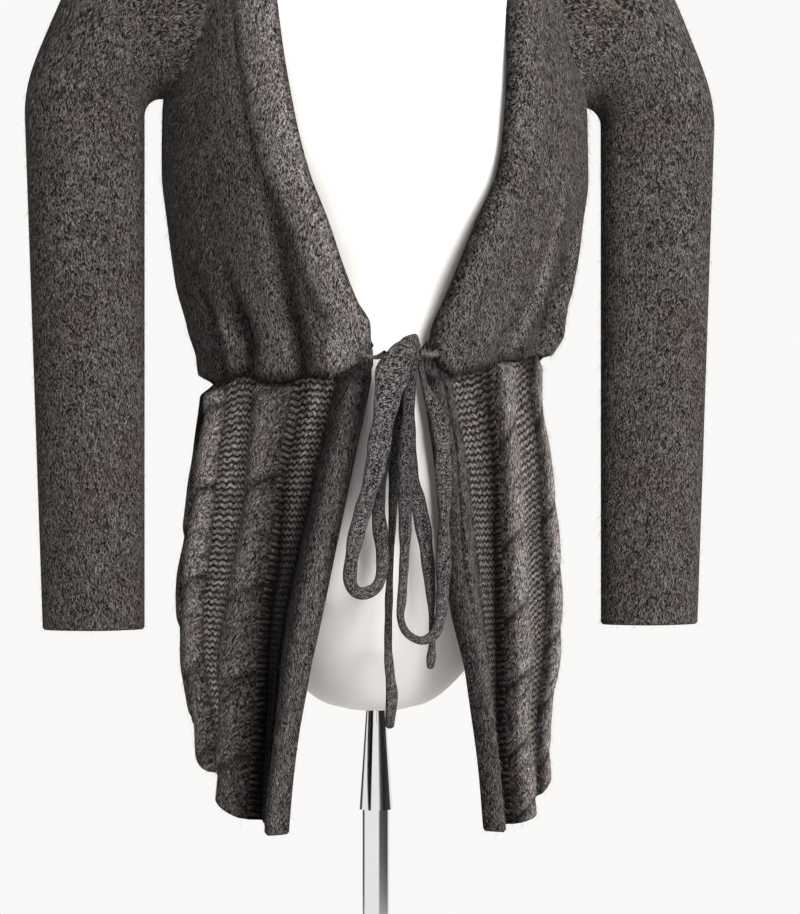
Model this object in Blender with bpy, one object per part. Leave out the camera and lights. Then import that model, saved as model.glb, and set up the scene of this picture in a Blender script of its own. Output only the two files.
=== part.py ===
"""A long knitted cardigan with a gathered drawstring waist, worn by a limbless dress form on a round stand.

The garment is cut as a maker would cut it: a plain bodice (two fronts and a back), two sleeves, a gathered
skirt with cables (two fronts and a back), and a plain band round the fronts and the neck. A flat knitted tie
comes out of the waist on each side of the opening and is tied in a bow.

Frame: the origin is on the floor under the pole, +Z is up, the garment's front faces -Y.
Places round the body are angles: 0 is the centre front, +90 is the wearer's left side seam (+X), 180 the back.
All sizes below are millimetres and degrees.
"""

import math

import bpy
import numpy as np

MM = 0.001
SEAM_GAP = 0.3          # two pieces stand this far apart where they are sewn together
PLAIN_WALL = 2.6        # plain knit
BAND_WALL = 3.4         # the doubled band
CABLE_HEIGHT = 6.0      # a cable above its purl ground
CABLE_CROSSING = 72.0   # from one crossing of a cable's two strands to the next
# shares of the cable's half width: how far a strand swings, its half width, and the foot at the cable's edge
STRAND_SWING, STRAND_HALF_WIDTH, CABLE_FOOT = 0.46, 0.60, 0.12
# shares of the cable's height: a strand's round back, and how far it rises and dips as it crosses
STRAND_HEIGHT, STRAND_RISE = 0.66, 0.32

# ---- the dress form: sections from the flat bottom to the top of the neck --------------------------------
# height, half width, half depth in front, half depth behind
FORM_SECTIONS = (
    (771, 22, 22, 22),
    (776, 41, 38, 38),
    (786, 56, 50, 50),
    (802, 72, 62, 62),
    (825, 90, 75, 74),
    (860, 113, 89, 88),
    (900, 127, 97, 97),
    (940, 127, 98, 98),
    (985, 119, 93, 92),
    (1050, 108, 87, 85),
    (1095, 117, 91, 88),
    (1150, 136, 107, 97),
    (1205, 149, 119, 104),
    (1245, 151, 114, 105),
    (1290, 154, 103, 101),
    (1330, 160, 92, 93),
    (1365, 167, 82, 84),
    (1388, 167, 76, 78),
    (1402, 157, 71, 74),
    (1418, 136, 67, 70),
    (1434, 108, 63, 66),
    (1448, 82, 60, 63),
    (1462, 64, 56, 60),
    (1485, 56, 52, 55),
    (1540, 52, 48, 50),
)
FORM_BOTTOM = FORM_SECTIONS[0][0]
FORM_TOP = FORM_SECTIONS[-1][0]
FORM_RINGS = (
    771, 775, 784, 798, 820, 850, 885, 920, 960, 1005, 1050, 1095, 1140, 1180, 1220, 1265, 1310, 1350,
    1376, 1392, 1402, 1412, 1424, 1436, 1448, 1462, 1488, 1540,
)
FORM_CORNERS = 28
NECK_CAP_RADIUS = 45
NECK_CAP_HEIGHT = 12
NECK_CAP_RIM = 5

# ---- the stand ------------------------------------------------------------------------------------------
BASE_RADIUS = 170
BASE_THICKNESS = 10
BASE_RIM = 3
POLE_RADIUS = 11
SOCKET_TOP_RADIUS = 8
SOCKET_BOTTOM_RADIUS = 13.5
SOCKET_LENGTH = 80
STAND_CORNERS = 24

# ---- the cloth's plain surface: it hangs free below the bust and lies on the form above it ----------------
# height, half width, half depth in front, half depth behind
DRAPE_SECTIONS = (
    (640, 140, 120, 112),
    (755, 141, 118, 112),
    (822, 150, 120, 116),
    (854, 151, 119, 116),
    (905, 147, 116, 113),
    (974, 141, 111, 108),
    (1032, 134, 106, 101),
    (1050, 135, 106, 101),
    (1078, 149, 110, 104),
    (1110, 160, 118, 109),
    (1150, 166, 126, 113),
    (1197, 171, 132, 117),
    (1240, 171, 128, 117),
    (1270, 169, 121, 113),
    (1305, 167, 111, 107),
    (1340, 167, 100, 100),
    (1370, 171, 89, 92),
)
REST_FROM, REST_TO = 1270, 1370     # over these heights the cloth comes to rest on the form
REST_OUT, REST_UP = 1.2, 1.7        # how far it then lies outside and above the form's own surface

# ---- heights of the seams --------------------------------------------------------------------------------
HEM_FRONT, HEM_BACK = 685, 812            # the fronts hang lower than the back
HEM_RISES_FROM, HEM_RISES_TO = 40, 150    # degrees round the body over which the hem climbs
WAIST_SEAM = 1032
BAND_SEAM_AT_EDGE = 1047      # the band's own seam runs up to here from the waist seam, under the tie
UNDERARM = 1255
SHOULDER_POINT = 1402
SHOULDER_NECK = 1430
BACK_NECK = 1425
NECK_EDGE_SHOULDER, NECK_EDGE_BACK = 1447, 1452
ARMHOLE_FRONT, ARMHOLE_BACK = 30, 25      # degrees that the armhole cuts into the front and the back

# ---- the band from the waist to the shoulder ---------------------------------------------------------------
# seam height, edge height, edge's distance from the centre on the wearer's left and right, seam's likewise
BAND_TABLE = (
    (1032, 1032, 20, 20, 47, 52),
    (1052, 1052, 24, 21, 53, 53),
    (1072, 1072, 28, 22, 58, 55),
    (1090, 1090, 36, 33, 66, 65),
    (1115, 1115, 46, 44, 77, 76),
    (1150, 1150, 60, 57, 92, 89),
    (1190, 1190, 78, 73, 112, 106),
    (1240, 1240, 86, 84, 119, 117),
    (1297, 1300, 91, 91, 122, 122),
    (1336, 1345, 93, 93, 124, 124),
    (1368, 1380, 93, 93, 124, 124),
    (1392, 1410, 91, 91, 123, 123),
    (1413, 1430, 89, 89, 121, 121),
    (1430, 1447, 86, 86, 118, 118),
)

# ---- the bodice's own folds: one row each, ridges up and troughs down -------------------------------------
# angle and height where it starts, in its middle and where it ends, half width in degrees, height
BODICE_FOLDS = (
    # the long trough beside the band, wearer's right
    ((-33, 1030), (-34, 1106), (-40, 1215), 6.0, -7.0),
    # the trough towards the right side seam, and the drag line above it
    ((-56, 1030), (-51, 1070), (-62, 1150), 6.0, -5.5),
    ((-70, 1035), (-66, 1085), (-80, 1160), 6.0, -4.0),
    # the gathers' swellings between the troughs
    ((-27, 1034), (-27, 1056), (-29, 1090), 6.5, 4.0),
    ((-43, 1034), (-43, 1058), (-47, 1110), 8.0, 5.0),
    ((-63, 1034), (-62, 1055), (-66, 1095), 6.0, 3.5),
    # wearer's left: a ridge that runs up from the waist and the trough behind it
    ((46, 1062), (50, 1110), (60, 1200), 5.0, 3.5),
    ((55, 1058), (61, 1115), (72, 1190), 7.0, -5.0),
    ((58, 1036), (60, 1052), (62, 1074), 7.0, 5.0),
    ((36, 1034), (38, 1060), (42, 1100), 5.0, -2.0),
    ((76, 1034), (77, 1056), (80, 1100), 6.0, 3.0),
)
BACK_GATHERS = 7             # swellings across the back of the waist
BACK_GATHER_HEIGHT = 4.0
BACK_GATHER_REACH = 70       # how far up they run before they die away

# ---- the skirt's lines: where each stripe starts, at these heights ----------------------------------------
SKIRT_HEIGHTS = (1032, 975, 905, 855, 800, 755, 640)
# name, how far the cloth stands out there, steps to the next line, angle at each height
LEFT_LINES = (
    ("opening edge", 1.0, 2, (8.5, 11.5, 16.0, 18.0, 22.0, 26.0, 32.0)),
    ("band middle", 4.0, 2, (14.0, 16.3, 20.4, 22.2, 25.8, 29.5, 36.0)),
    ("band seam", -1.0, 2, (19.5, 21.2, 24.8, 26.3, 29.5, 33.0, 40.0)),
    ("first purl", -1.5, 2, (27.5, 27.5, 28.8, 29.6, 31.6, 34.8, 43.5)),
    ("channel", -9.0, 1, (35.5, 34.4, 32.8, 33.0, 34.0, 36.6, 47.0)),
    ("first cable, inner", -5.0, 5, (36.8, 35.5, 34.0, 34.4, 35.4, 38.0, 48.5)),
    ("first cable, outer", -1.0, 2, (45.5, 43.5, 42.3, 43.2, 46.3, 49.5, 59.5)),
    ("second purl", -3.5, 2, (51.0, 48.2, 47.0, 47.6, 49.2, 51.2, 61.2)),
    ("second cable, inner", -5.0, 5, (56.5, 52.8, 51.5, 52.0, 52.0, 53.0, 63.0)),
    ("second cable, outer", -1.0, 3, (69.5, 66.5, 66.0, 67.0, 68.0, 70.0, 77.0)),
    ("side seam", -3.0, 0, (90.0, 90.0, 90.0, 90.0, 90.0, 90.0, 90.0)),
)
RIGHT_LINES = (
    ("opening edge", 1.0, 2, (8.2, 12.7, 18.8, 22.7, 27.5, 31.5, 37.0)),
    ("band middle", 5.0, 2, (15.2, 19.4, 24.6, 29.0, 33.3, 37.2, 42.5)),
    ("band seam", -1.0, 2, (22.0, 26.0, 30.0, 35.0, 39.0, 42.8, 48.0)),
    ("first purl", -2.0, 2, (28.0, 30.6, 33.4, 36.8, 40.6, 44.0, 50.5)),
    ("channel", -8.0, 1, (33.2, 34.6, 36.2, 38.4, 41.8, 45.2, 53.0)),
    ("first cable, inner", -4.0, 5, (35.5, 37.1, 38.5, 40.8, 44.0, 47.5, 56.0)),
    ("first cable, outer", -1.0, 2, (49.5, 49.6, 51.5, 55.0, 59.5, 63.5, 70.0)),
    ("second purl", -3.0, 2, (59.0, 60.8, 62.8, 65.2, 68.2, 70.8, 75.0)),
    ("second cable, inner", -5.0, 5, (68.5, 72.0, 74.0, 75.5, 77.0, 78.0, 80.0)),
    ("second cable, outer", -1.0, 3, (81.0, 83.0, 84.0, 85.0, 86.0, 86.5, 88.0)),
    ("side seam", -3.0, 0, (90.0, 90.0, 90.0, 90.0, 90.0, 90.0, 90.0)),
)
BAND_LINES = 2               # the first lines of each table bound the front band
BAND_ROLL = (0.0, 1.8, 1.4, 0.0)      # how the band swells from its free edge to its seam
NECK_BAND_ROLL = (0.0, 1.6, 0.0)
CABLE_SWELL = 3.0            # a cable also lies on the crest of a soft fold of the cloth
BACK_CABLES = 6
BACK_CABLE_SHARE = 0.5       # of one cable and one purl stripe
BACK_PURL_DEPTH = -3.0
BACK_CABLE_SWELL = 6.0
BACK_CABLE_STEPS = 4

# ---- points along the pieces -------------------------------------------------------------------------------
SKIRT_ROWS = 24
HEM_PASSES = 4               # a column's own hem height is settled in this many passes
BODICE_ROWS_BELOW, BODICE_ROWS_ABOVE = 9, 9       # below and above the underarm
FRONT_COLUMNS = 12
SHOULDER_COLUMNS, NECK_COLUMNS = 3, 8             # across half of the back
SLEEVE_BEND_ROWS, SLEEVE_STRAIGHT_ROWS = 5, 5

# ---- sleeves -------------------------------------------------------------------------------------------------
SLEEVE_CUFF = 838             # height of the open cuff
SLEEVE_TURN = 14              # radius of the turn under the arm
SLEEVE_WIDTH_TOP, SLEEVE_WIDTH_CUFF = 94, 80
SLEEVE_HALF_DEPTH_TOP, SLEEVE_HALF_DEPTH_CUFF = 31, 25
SLEEVE_HEAD_DEPTH = 14        # added to the half depth at the armhole
SLEEVE_FOLD = 2.2

# ---- the tie: routes of its free parts, chosen by hand down their middles --------------------------------
TIE_DIAMETER = 6.4
TIE_POINT_EVERY = 2.6 * TIE_DIAMETER
KNOT_LOW, KNOT_HIGH = (-11.5, -137.5, 1046.3), (15.5, -112.5, 1066.0)
KNOT_CORNERS = 20
KNOT_SQUARENESS = 0.6         # 1 would be an ellipse, 0 a rectangle
# height above the underside and how far the side lies in from the knot's widest outline
KNOT_RINGS = ((0.0, 0.0), (6.0, -0.6), (14.7, 0.6), (18.5, 3.2), (19.7, 6.5))
TIE_ROUTES = {
    "tie_lead_right": (
        (-24.5, -108.3, 1049.2), (-20.5, -112.4, 1048.0), (-17.0, -118.8, 1048.6), (-14.6, -122.4, 1050.4),
    ),
    "tie_lead_left": (
        (26.3, -108.1, 1050.8), (23.0, -112.0, 1049.0), (20.6, -118.2, 1049.2), (18.65, -121.4, 1050.6),
    ),
    "tie_loop_right": (
        (-8.0, -134.0, 1045.9), (-9.5, -135.5, 1038.0), (-15.0, -137.5, 1022.0), (-18.6, -138.0, 1004.0),
        (-20.6, -136.0, 978.0), (-26.2, -133.0, 947.1), (-35.6, -130.0, 916.9), (-41.8, -129.0, 892.0),
        (-40.8, -128.0, 876.0), (-32.7, -126.0, 869.6), (-22.0, -123.5, 873.5), (-15.0, -121.5, 887.0),
        (-13.1, -120.5, 909.0), (-12.3, -120.5, 935.5), (-8.6, -121.5, 962.1), (-4.0, -122.5, 993.3),
        (-0.8, -123.0, 1022.9), (0.3, -123.2, 1038.0), (0.3, -123.2, 1045.9),
    ),
    "tie_tail_long": (
        (-5.8, -115.8, 1045.9), (-5.6, -115.4, 1036.0), (-4.2, -114.0, 1015.5), (-3.5, -113.2, 969.7),
        (-4.3, -113.0, 931.6), (-5.8, -113.0, 893.5), (-7.4, -113.0, 855.3), (-7.4, -113.2, 824.8),
        (-6.0, -114.0, 798.2), (-6.2, -115.0, 768.0),
    ),
    "tie_loop_left": (
        (2.6, -133.6, 1045.9), (2.7, -133.8, 1036.0), (2.9, -134.0, 1015.1), (3.0, -133.0, 977.3),
        (3.3, -131.0, 931.9), (2.0, -130.0, 901.6), (-0.6, -130.0, 871.3), (-2.2, -129.0, 853.0),
        (3.6, -128.0, 839.8), (14.5, -126.5, 834.2), (25.0, -125.0, 841.0), (30.1, -125.0, 859.4),
        (31.4, -126.0, 886.0), (30.9, -128.5, 916.5), (29.5, -131.0, 947.0), (26.2, -132.5, 977.3),
        (21.5, -132.5, 1001.0), (15.5, -131.6, 1023.0), (12.0, -131.0, 1038.0), (12.0, -131.0, 1045.9),
    ),
    "tie_tail_short": (
        (9.6, -119.6, 1045.9), (9.8, -119.4, 1036.0), (10.8, -118.8, 1015.4), (12.8, -118.0, 977.3),
        (15.0, -117.4, 946.8), (17.3, -116.8, 914.8), (20.8, -116.4, 885.8), (23.4, -116.4, 855.3),
        (24.4, -116.4, 832.4), (24.2, -116.6, 812.0),
    ),
}


def smooth_step(t):
    t = min(1.0, max(0.0, t))
    return t * t * (3 - 2 * t)


def read_table(rows, at):
    """The columns of rows at a height, on a smooth curve through the rows. The first column is the height."""
    rows = sorted(rows)
    heights = [row[0] for row in rows]
    if at <= heights[0]:
        return list(rows[0][1:])
    if at >= heights[-1]:
        return list(rows[-1][1:])
    i = max(k for k in range(len(rows) - 1) if heights[k] <= at)
    step = heights[i + 1] - heights[i]
    t = (at - heights[i]) / step
    values = []
    for column in range(1, len(rows[0])):
        low, high = rows[i][column], rows[i + 1][column]
        rise = (high - low) / step

        def slope(k):
            if k == 0 or k == len(rows) - 1:
                return rise
            before = (rows[k][column] - rows[k - 1][column]) / (heights[k] - heights[k - 1])
            after = (rows[k + 1][column] - rows[k][column]) / (heights[k + 1] - heights[k])
            return 0.0 if before * after <= 0 else 2 * before * after / (before + after)

        s0, s1 = slope(i) * step, slope(i + 1) * step
        values.append(
            low * (2 * t**3 - 3 * t**2 + 1)
            + s0 * (t**3 - 2 * t**2 + t)
            + high * (3 * t**2 - 2 * t**3)
            + s1 * (t**3 - t**2)
        )
    return values


def section_point(half_width, front, back, angle, height):
    a = math.radians(angle)
    depth = front if math.cos(a) > 0 else back
    return np.array([half_width * math.sin(a), -depth * math.cos(a), height])


def cloth_section(height):
    """Half width and half depths of the cloth's plain outer surface at a height."""
    drape = read_table(DRAPE_SECTIONS, height)
    if height <= REST_FROM:
        return drape
    form = [size + REST_OUT + PLAIN_WALL for size in read_table(FORM_SECTIONS, height - REST_UP - PLAIN_WALL)]
    t = smooth_step((height - REST_FROM) / (REST_TO - REST_FROM))
    return [(1 - t) * d + t * f for d, f in zip(drape, form)]


def cloth_point(angle, height, lift=0.0):
    """A point that stands out from the cloth's plain outer surface by lift, square to it."""
    def plain(a, z):
        return section_point(*cloth_section(z), a, z)

    here = plain(angle, height)
    along = plain(angle + 0.5, height) - plain(angle - 0.5, height)
    up = plain(angle, height + 1.0) - plain(angle, height - 1.0)
    out = np.cross(along, up)
    return here + lift * out / np.linalg.norm(out)


def across_speed(angle, height):
    """Millimetres along the section for one degree."""
    width, front, back = cloth_section(height)
    a = math.radians(angle)
    depth = front if math.cos(a) > 0 else back
    return math.radians(1) * math.hypot(width * math.cos(a), depth * math.sin(a))


def toward(place, goal, distance):
    """(angle, height) moved by a distance in millimetres towards another."""
    d_angle, d_height = goal[0] - place[0], goal[1] - place[1]
    speed = across_speed(*place)
    length = math.hypot(d_angle * speed, d_height)
    return place[0] + d_angle * distance / length, place[1] + d_height * distance / length


def angle_at(distance, height):
    """The angle at which the cloth is a distance from the centre plane."""
    return math.degrees(math.asin(min(1.0, distance / cloth_section(height)[0])))


# ---- folds ---------------------------------------------------------------------------------------------------

def fold_lift(fold, angle, height):
    (a0, z0), (a1, z1), (a2, z2), half_width, depth = fold
    if not z0 - 20 < height < z2:
        return 0.0
    centre = read_table(((z0, a0), (z1, a1), (z2, a2)), height)[0]
    off = abs(angle - centre) / half_width
    if off >= 1:
        return 0.0
    fade = 1 - smooth_step((height - z1) / (z2 - z1))
    return depth * fade * (0.5 + 0.5 * math.cos(math.pi * off))


def bodice_lift(angle, height):
    """How far the bodice's folds carry its wall out or in at a place."""
    angle = (angle + 180) % 360 - 180
    lift = sum(fold_lift(fold, angle, height) for fold in BODICE_FOLDS)
    if abs(angle) > 90:
        fade = 1 - smooth_step((height - WAIST_SEAM - 12) / BACK_GATHER_REACH)
        across = (abs(angle) - 90) / 90
        lift += BACK_GATHER_HEIGHT * fade * (0.5 - 0.5 * math.cos(math.pi * across * BACK_GATHERS))
    return lift


def skirt_lines(side, height):
    """(angle, lift, steps) of each line of one front of the skirt at a height."""
    lines = []
    for _, lift, steps, angles in LEFT_LINES if side > 0 else RIGHT_LINES:
        table = list(zip(SKIRT_HEIGHTS, angles))
        lines.append((read_table(table, height)[0], lift, steps))
    return lines


def rope(across, height, start):
    """Height of a two-strand cable, from 0 to 1, at a place from -1 to 1 across it."""
    turn = math.pi * (height - start) / CABLE_CROSSING
    best = 0.0
    for strand in (0, math.pi):
        middle = STRAND_SWING * math.cos(turn + strand)
        top = STRAND_RISE * math.sin(turn + strand)
        off = (across - middle) / STRAND_HALF_WIDTH
        if abs(off) < 1:
            best = max(best, STRAND_HEIGHT * math.sqrt(1 - off * off) + top)
    edge = min(1.0, (1 - abs(across)) / CABLE_FOOT)
    return max(0.0, best) * edge


def stripe_columns(side, height, first, last):
    """(angle, lift, cable relief) of the skirt's columns between two lines, at a height."""
    lines = skirt_lines(side, height)
    columns = []
    for k in range(first, last):
        (a0, lift0, steps), (a1, lift1, _) = lines[k], lines[k + 1]
        cable = "cable, inner" in LEFT_LINES[k][0]
        for i in range(steps + (k == last - 1)):
            t = i / steps
            lift = lift0 + (lift1 - lift0) * smooth_step(t)
            relief = 0.0
            if cable:
                lift += CABLE_SWELL * math.sin(math.pi * t)
                relief = CABLE_HEIGHT * rope(side * (2 * t - 1), height, SKIRT_HEIGHTS[0] - 20 * k)
            columns.append((side * (a0 + (a1 - a0) * t), lift, relief))
    return columns


def back_columns(height):
    """The same for the skirt's back, from one side seam to the other."""
    pitch = 180 / BACK_CABLES
    half_purl = pitch * (1 - BACK_CABLE_SHARE) / 2
    columns = [(90.0, BACK_PURL_DEPTH, 0.0), (90 + half_purl / 2, BACK_PURL_DEPTH, 0.0)]
    for i in range(BACK_CABLES):
        start = 90 + i * pitch + half_purl
        for k in range(BACK_CABLE_STEPS + 1):
            t = k / BACK_CABLE_STEPS
            lift = BACK_PURL_DEPTH + BACK_CABLE_SWELL * math.sin(math.pi * t)
            relief = CABLE_HEIGHT * rope(2 * t - 1, height, SKIRT_HEIGHTS[0] - 25 * i)
            columns.append((start + pitch * BACK_CABLE_SHARE * t, lift, relief))
        purl_middle = half_purl if i < BACK_CABLES - 1 else half_purl / 2
        columns.append((start + pitch * BACK_CABLE_SHARE + purl_middle, BACK_PURL_DEPTH, 0.0))
    columns.append((270.0, BACK_PURL_DEPTH, 0.0))
    return columns


# ---- walls -------------------------------------------------------------------------------------------------

def principled(name, colour, roughness, metallic=0.0):
    material = bpy.data.materials.new(name)
    material.use_nodes = True
    shader = material.node_tree.nodes["Principled BSDF"]
    shader.inputs["Base Color"].default_value = (*colour, 1)
    shader.inputs["Roughness"].default_value = roughness
    shader.inputs["Metallic"].default_value = metallic
    return material


def add_object(name, points, faces, material):
    mesh = bpy.data.meshes.new(name)
    mesh.from_pydata([tuple(float(c) * MM for c in p) for p in points], [], faces)
    mesh.materials.append(material)
    mesh.validate()
    thing = bpy.data.objects.new(name, mesh)
    bpy.context.collection.objects.link(thing)
    return thing


def stitch(fine, coarse):
    """Triangles between a fine line of points and a coarse one, which has every so many of its steps."""
    each = (len(fine) - 1) // (len(coarse) - 1)
    half = (each + 1) // 2
    faces = []
    for j in range(len(coarse) - 1):
        run = fine[j * each:(j + 1) * each + 1]
        faces += [(coarse[j], run[i + 1], run[i]) for i in range(half)]
        faces.append((coarse[j], coarse[j + 1], run[half]))
        faces += [(coarse[j + 1], run[i + 1], run[i]) for i in range(half, each)]
    return faces


def wall(name, outer, inner, material, step=(1, 1)):
    """A closed wall from an outer grid of points and an inner one with every step-th row and column of it."""
    inner = [row[:: step[1]] for row in inner[:: step[0]]]
    points, number = [], {}
    for side, grid in (("out", outer), ("in", inner)):
        for r, row in enumerate(grid):
            for c, p in enumerate(row):
                number[side, r, c] = len(points)
                points.append(p)
    faces = []
    for side, grid, turn in (("out", outer, 1), ("in", inner, -1)):
        for r in range(len(grid) - 1):
            for c in range(len(grid[0]) - 1):
                a, b, d, e = (number[side, r + i, c + j] for i, j in ((0, 0), (0, 1), (1, 1), (1, 0)))
                faces += [(a, b, d)[::turn], (a, d, e)[::turn]]
    rows, columns = len(outer) - 1, len(outer[0]) - 1
    in_rows, in_columns = len(inner) - 1, len(inner[0]) - 1
    rims = (
        ([number["out", 0, c] for c in range(columns + 1)], [number["in", 0, c] for c in range(in_columns + 1)]),
        (
            [number["out", r, columns] for r in range(rows + 1)],
            [number["in", r, in_columns] for r in range(in_rows + 1)],
        ),
        (
            [number["out", rows, c] for c in reversed(range(columns + 1))],
            [number["in", in_rows, c] for c in reversed(range(in_columns + 1))],
        ),
        (
            [number["out", r, 0] for r in reversed(range(rows + 1))],
            [number["in", r, 0] for r in reversed(range(in_rows + 1))],
        ),
    )
    for fine, coarse in rims:
        faces += stitch(fine, coarse)
    return add_object(name, points, faces, material)


def cloth_wall(name, grid, thickness, material, step=(1, 1)):
    """A wall from a grid of (angle, height, lift, relief)."""
    outer = [[cloth_point(a, z, lift + relief) for a, z, lift, relief in row] for row in grid]
    inner = [[cloth_point(a, z, lift - thickness) for a, z, lift, _ in row] for row in grid]
    return wall(name, outer, inner, material, step)


def tube_wall(name, outer, inner, material):
    """A closed wall from rings of points, open at both ends."""
    rows, round_it = len(outer), len(outer[0])
    points = [p for ring in outer for p in ring] + [p for ring in inner for p in ring]
    shift = rows * round_it
    faces = []
    for r in range(rows - 1):
        for c in range(round_it):
            d = (c + 1) % round_it
            a, b, e, f = (r * round_it + c, r * round_it + d, (r + 1) * round_it + d, (r + 1) * round_it + c)
            faces += [(a, b, e), (a, e, f), (shift + a, shift + e, shift + b), (shift + a, shift + f, shift + e)]
    for c in range(round_it):
        d = (c + 1) % round_it
        last = (rows - 1) * round_it
        faces += [(d, c, shift + c), (d, shift + c, shift + d)]
        faces += [
            (last + c, last + d, shift + last + d),
            (last + c, shift + last + d, shift + last + c),
        ]
    return add_object(name, points, faces, material)


# ---- the band and the bodice ------------------------------------------------------------------------------

def band_places(side, seam_height):
    """(angle, height) of the band's free edge and of its seam, where the seam is at a height."""
    edge_height, left_edge, right_edge, left_seam, right_seam = read_table(BAND_TABLE, seam_height)
    if seam_height >= SHOULDER_NECK:
        return (side * 90, NECK_EDGE_SHOULDER), (side * 90, SHOULDER_NECK)
    edge, seam = (left_edge, left_seam) if side > 0 else (right_edge, right_seam)
    return (side * angle_at(edge, edge_height), edge_height), (side * angle_at(seam, seam_height), seam_height)


def seam_heights():
    """Heights of the rows where they meet the band: level below the underarm, then up to the shoulder."""
    low = np.linspace(WAIST_SEAM, UNDERARM, BODICE_ROWS_BELOW + 1)
    return [*low, *(UNDERARM + (SHOULDER_NECK - UNDERARM) * share for share in upper_shares())]


def upper_shares():
    """How far up from the underarm each row is, from 0 to 1: closer together where the cloth turns."""
    return [0.5 - 0.5 * math.cos(math.pi * i / BODICE_ROWS_ABOVE) for i in range(1, BODICE_ROWS_ABOVE + 1)]


def side_places(side, cut):
    """(angle, height) of the rows where they meet the side seam and then the armhole, of the front or back."""
    low = np.linspace(WAIST_SEAM, UNDERARM, BODICE_ROWS_BELOW + 1)
    places = [(side * 90, z) for z in low]
    for i, share in enumerate(upper_shares(), 1):
        bite = cut * max(0.0, math.sin(math.pi * i / BODICE_ROWS_ABOVE)) ** 0.9
        places.append((side * (90 - bite), UNDERARM + (SHOULDER_POINT - UNDERARM) * share))
    return places


def bodice_front(name, side, material):
    gap = SEAM_GAP / 2
    heights = seam_heights()
    outside = side_places(side, ARMHOLE_FRONT)
    grid = []
    for k, seam_height in enumerate(heights):
        edge, seam = band_places(side, seam_height)
        far = outside[k]
        if k == len(heights) - 1:
            start, end = (seam[0] - side * gap / 2, seam[1] - 2 * gap), (far[0] - side * gap / 2, far[1] + gap)
        else:
            start, end = toward(seam, edge, -gap), (far[0] - side * gap / 2, far[1])
        row = []
        for c in range(FRONT_COLUMNS + 1):
            t = c / FRONT_COLUMNS
            angle = start[0] + (end[0] - start[0]) * t
            height = start[1] + (end[1] - start[1]) * t
            if k == 0:
                height = WAIST_SEAM + gap
            row.append((angle, height, bodice_lift(angle, height), 0.0))
        grid.append(row[::side])
    return cloth_wall(name, grid, PLAIN_WALL, material)


def bodice_back(name, material):
    """The back in one piece: half of it is worked out between its four sides, and mirrored."""
    gap = SEAM_GAP / 2
    side = side_places(1, -ARMHOLE_BACK)
    rows = len(side) - 1
    columns = SHOULDER_COLUMNS + NECK_COLUMNS
    top = [
        (90.0, SHOULDER_POINT + (SHOULDER_NECK - SHOULDER_POINT) * i / SHOULDER_COLUMNS)
        for i in range(SHOULDER_COLUMNS)
    ] + [(90 + 90 * i / NECK_COLUMNS, neck_seam_height(90 + 90 * i / NECK_COLUMNS)) for i in range(NECK_COLUMNS + 1)]
    centre = [(180.0, z) for _, z in side[:BODICE_ROWS_BELOW + 1]]
    centre += [(180.0, UNDERARM + (BACK_NECK - UNDERARM) * share) for share in upper_shares()]
    half = []
    for r in range(rows + 1):
        pull = max(0.0, (r - BODICE_ROWS_BELOW) / BODICE_ROWS_ABOVE) ** 4
        row = []
        for c in range(columns + 1):
            u = c / columns
            angle, height = (
                (1 - u) * side[r][axis] + u * centre[r][axis]
                + pull * (top[c][axis] - (1 - u) * top[0][axis] - u * top[-1][axis])
                for axis in (0, 1)
            )
            angle += gap / 2 if c == 0 or (r == rows and c <= SHOULDER_COLUMNS) else 0
            height += gap if r == 0 else 0
            height -= gap if r == rows and c >= SHOULDER_COLUMNS else 0
            row.append((angle, height))
        half.append(row)
    grid = []
    for row in half:
        whole = row + [(360 - a, z) for a, z in reversed(row[:-1])]
        grid.append([(a, z, bodice_lift(a, z), 0.0) for a, z in whole])
    return cloth_wall(name, grid, PLAIN_WALL, material)


def neck_seam_height(angle):
    return SHOULDER_NECK + (BACK_NECK - SHOULDER_NECK) * math.sin(math.radians(angle - 90))


def neck_edge_height(angle):
    return NECK_EDGE_SHOULDER + (NECK_EDGE_BACK - NECK_EDGE_SHOULDER) * math.sin(math.radians(angle - 90))


def bodice_band(name, side, material):
    """The band from the waist to the shoulder ridge, with a soft roll across it."""
    gap = SEAM_GAP / 2
    grid = []
    heights = seam_heights()
    for k, seam_height in enumerate(heights):
        edge, seam = band_places(side, seam_height)
        seam = toward(seam, edge, gap)
        row = []
        for c, swell in enumerate(BAND_ROLL):
            t = c / (len(BAND_ROLL) - 1)
            angle = edge[0] + (seam[0] - edge[0]) * t
            height = edge[1] + (seam[1] - edge[1]) * t
            if k == 0:
                height = BAND_SEAM_AT_EDGE + (WAIST_SEAM - BAND_SEAM_AT_EDGE) * t + gap
            if k == len(heights) - 1:
                angle -= side * gap / 2
            row.append((angle, height, swell + BAND_WALL - PLAIN_WALL + bodice_lift(angle, height) * t, 0.0))
        grid.append(row[::side])
    return cloth_wall(name, grid, BAND_WALL, material)


def neck_band(name, material):
    gap = SEAM_GAP / 2
    grid = []
    for i, swell in enumerate(NECK_BAND_ROLL):
        t = i / (len(NECK_BAND_ROLL) - 1)
        row = []
        for c in range(2 * NECK_COLUMNS + 1):
            angle = 90 + 90 * c / NECK_COLUMNS
            from_side = min(angle, 360 - angle)
            low, high = neck_seam_height(from_side) + gap, neck_edge_height(from_side)
            angle += gap / 2 if c == 0 else -gap / 2 if c == 2 * NECK_COLUMNS else 0
            row.append((angle, low + (high - low) * t, swell + BAND_WALL - PLAIN_WALL, 0.0))
        grid.append(row)
    return cloth_wall(name, grid, BAND_WALL, material)


# ---- sleeves -----------------------------------------------------------------------------------------------

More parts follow.
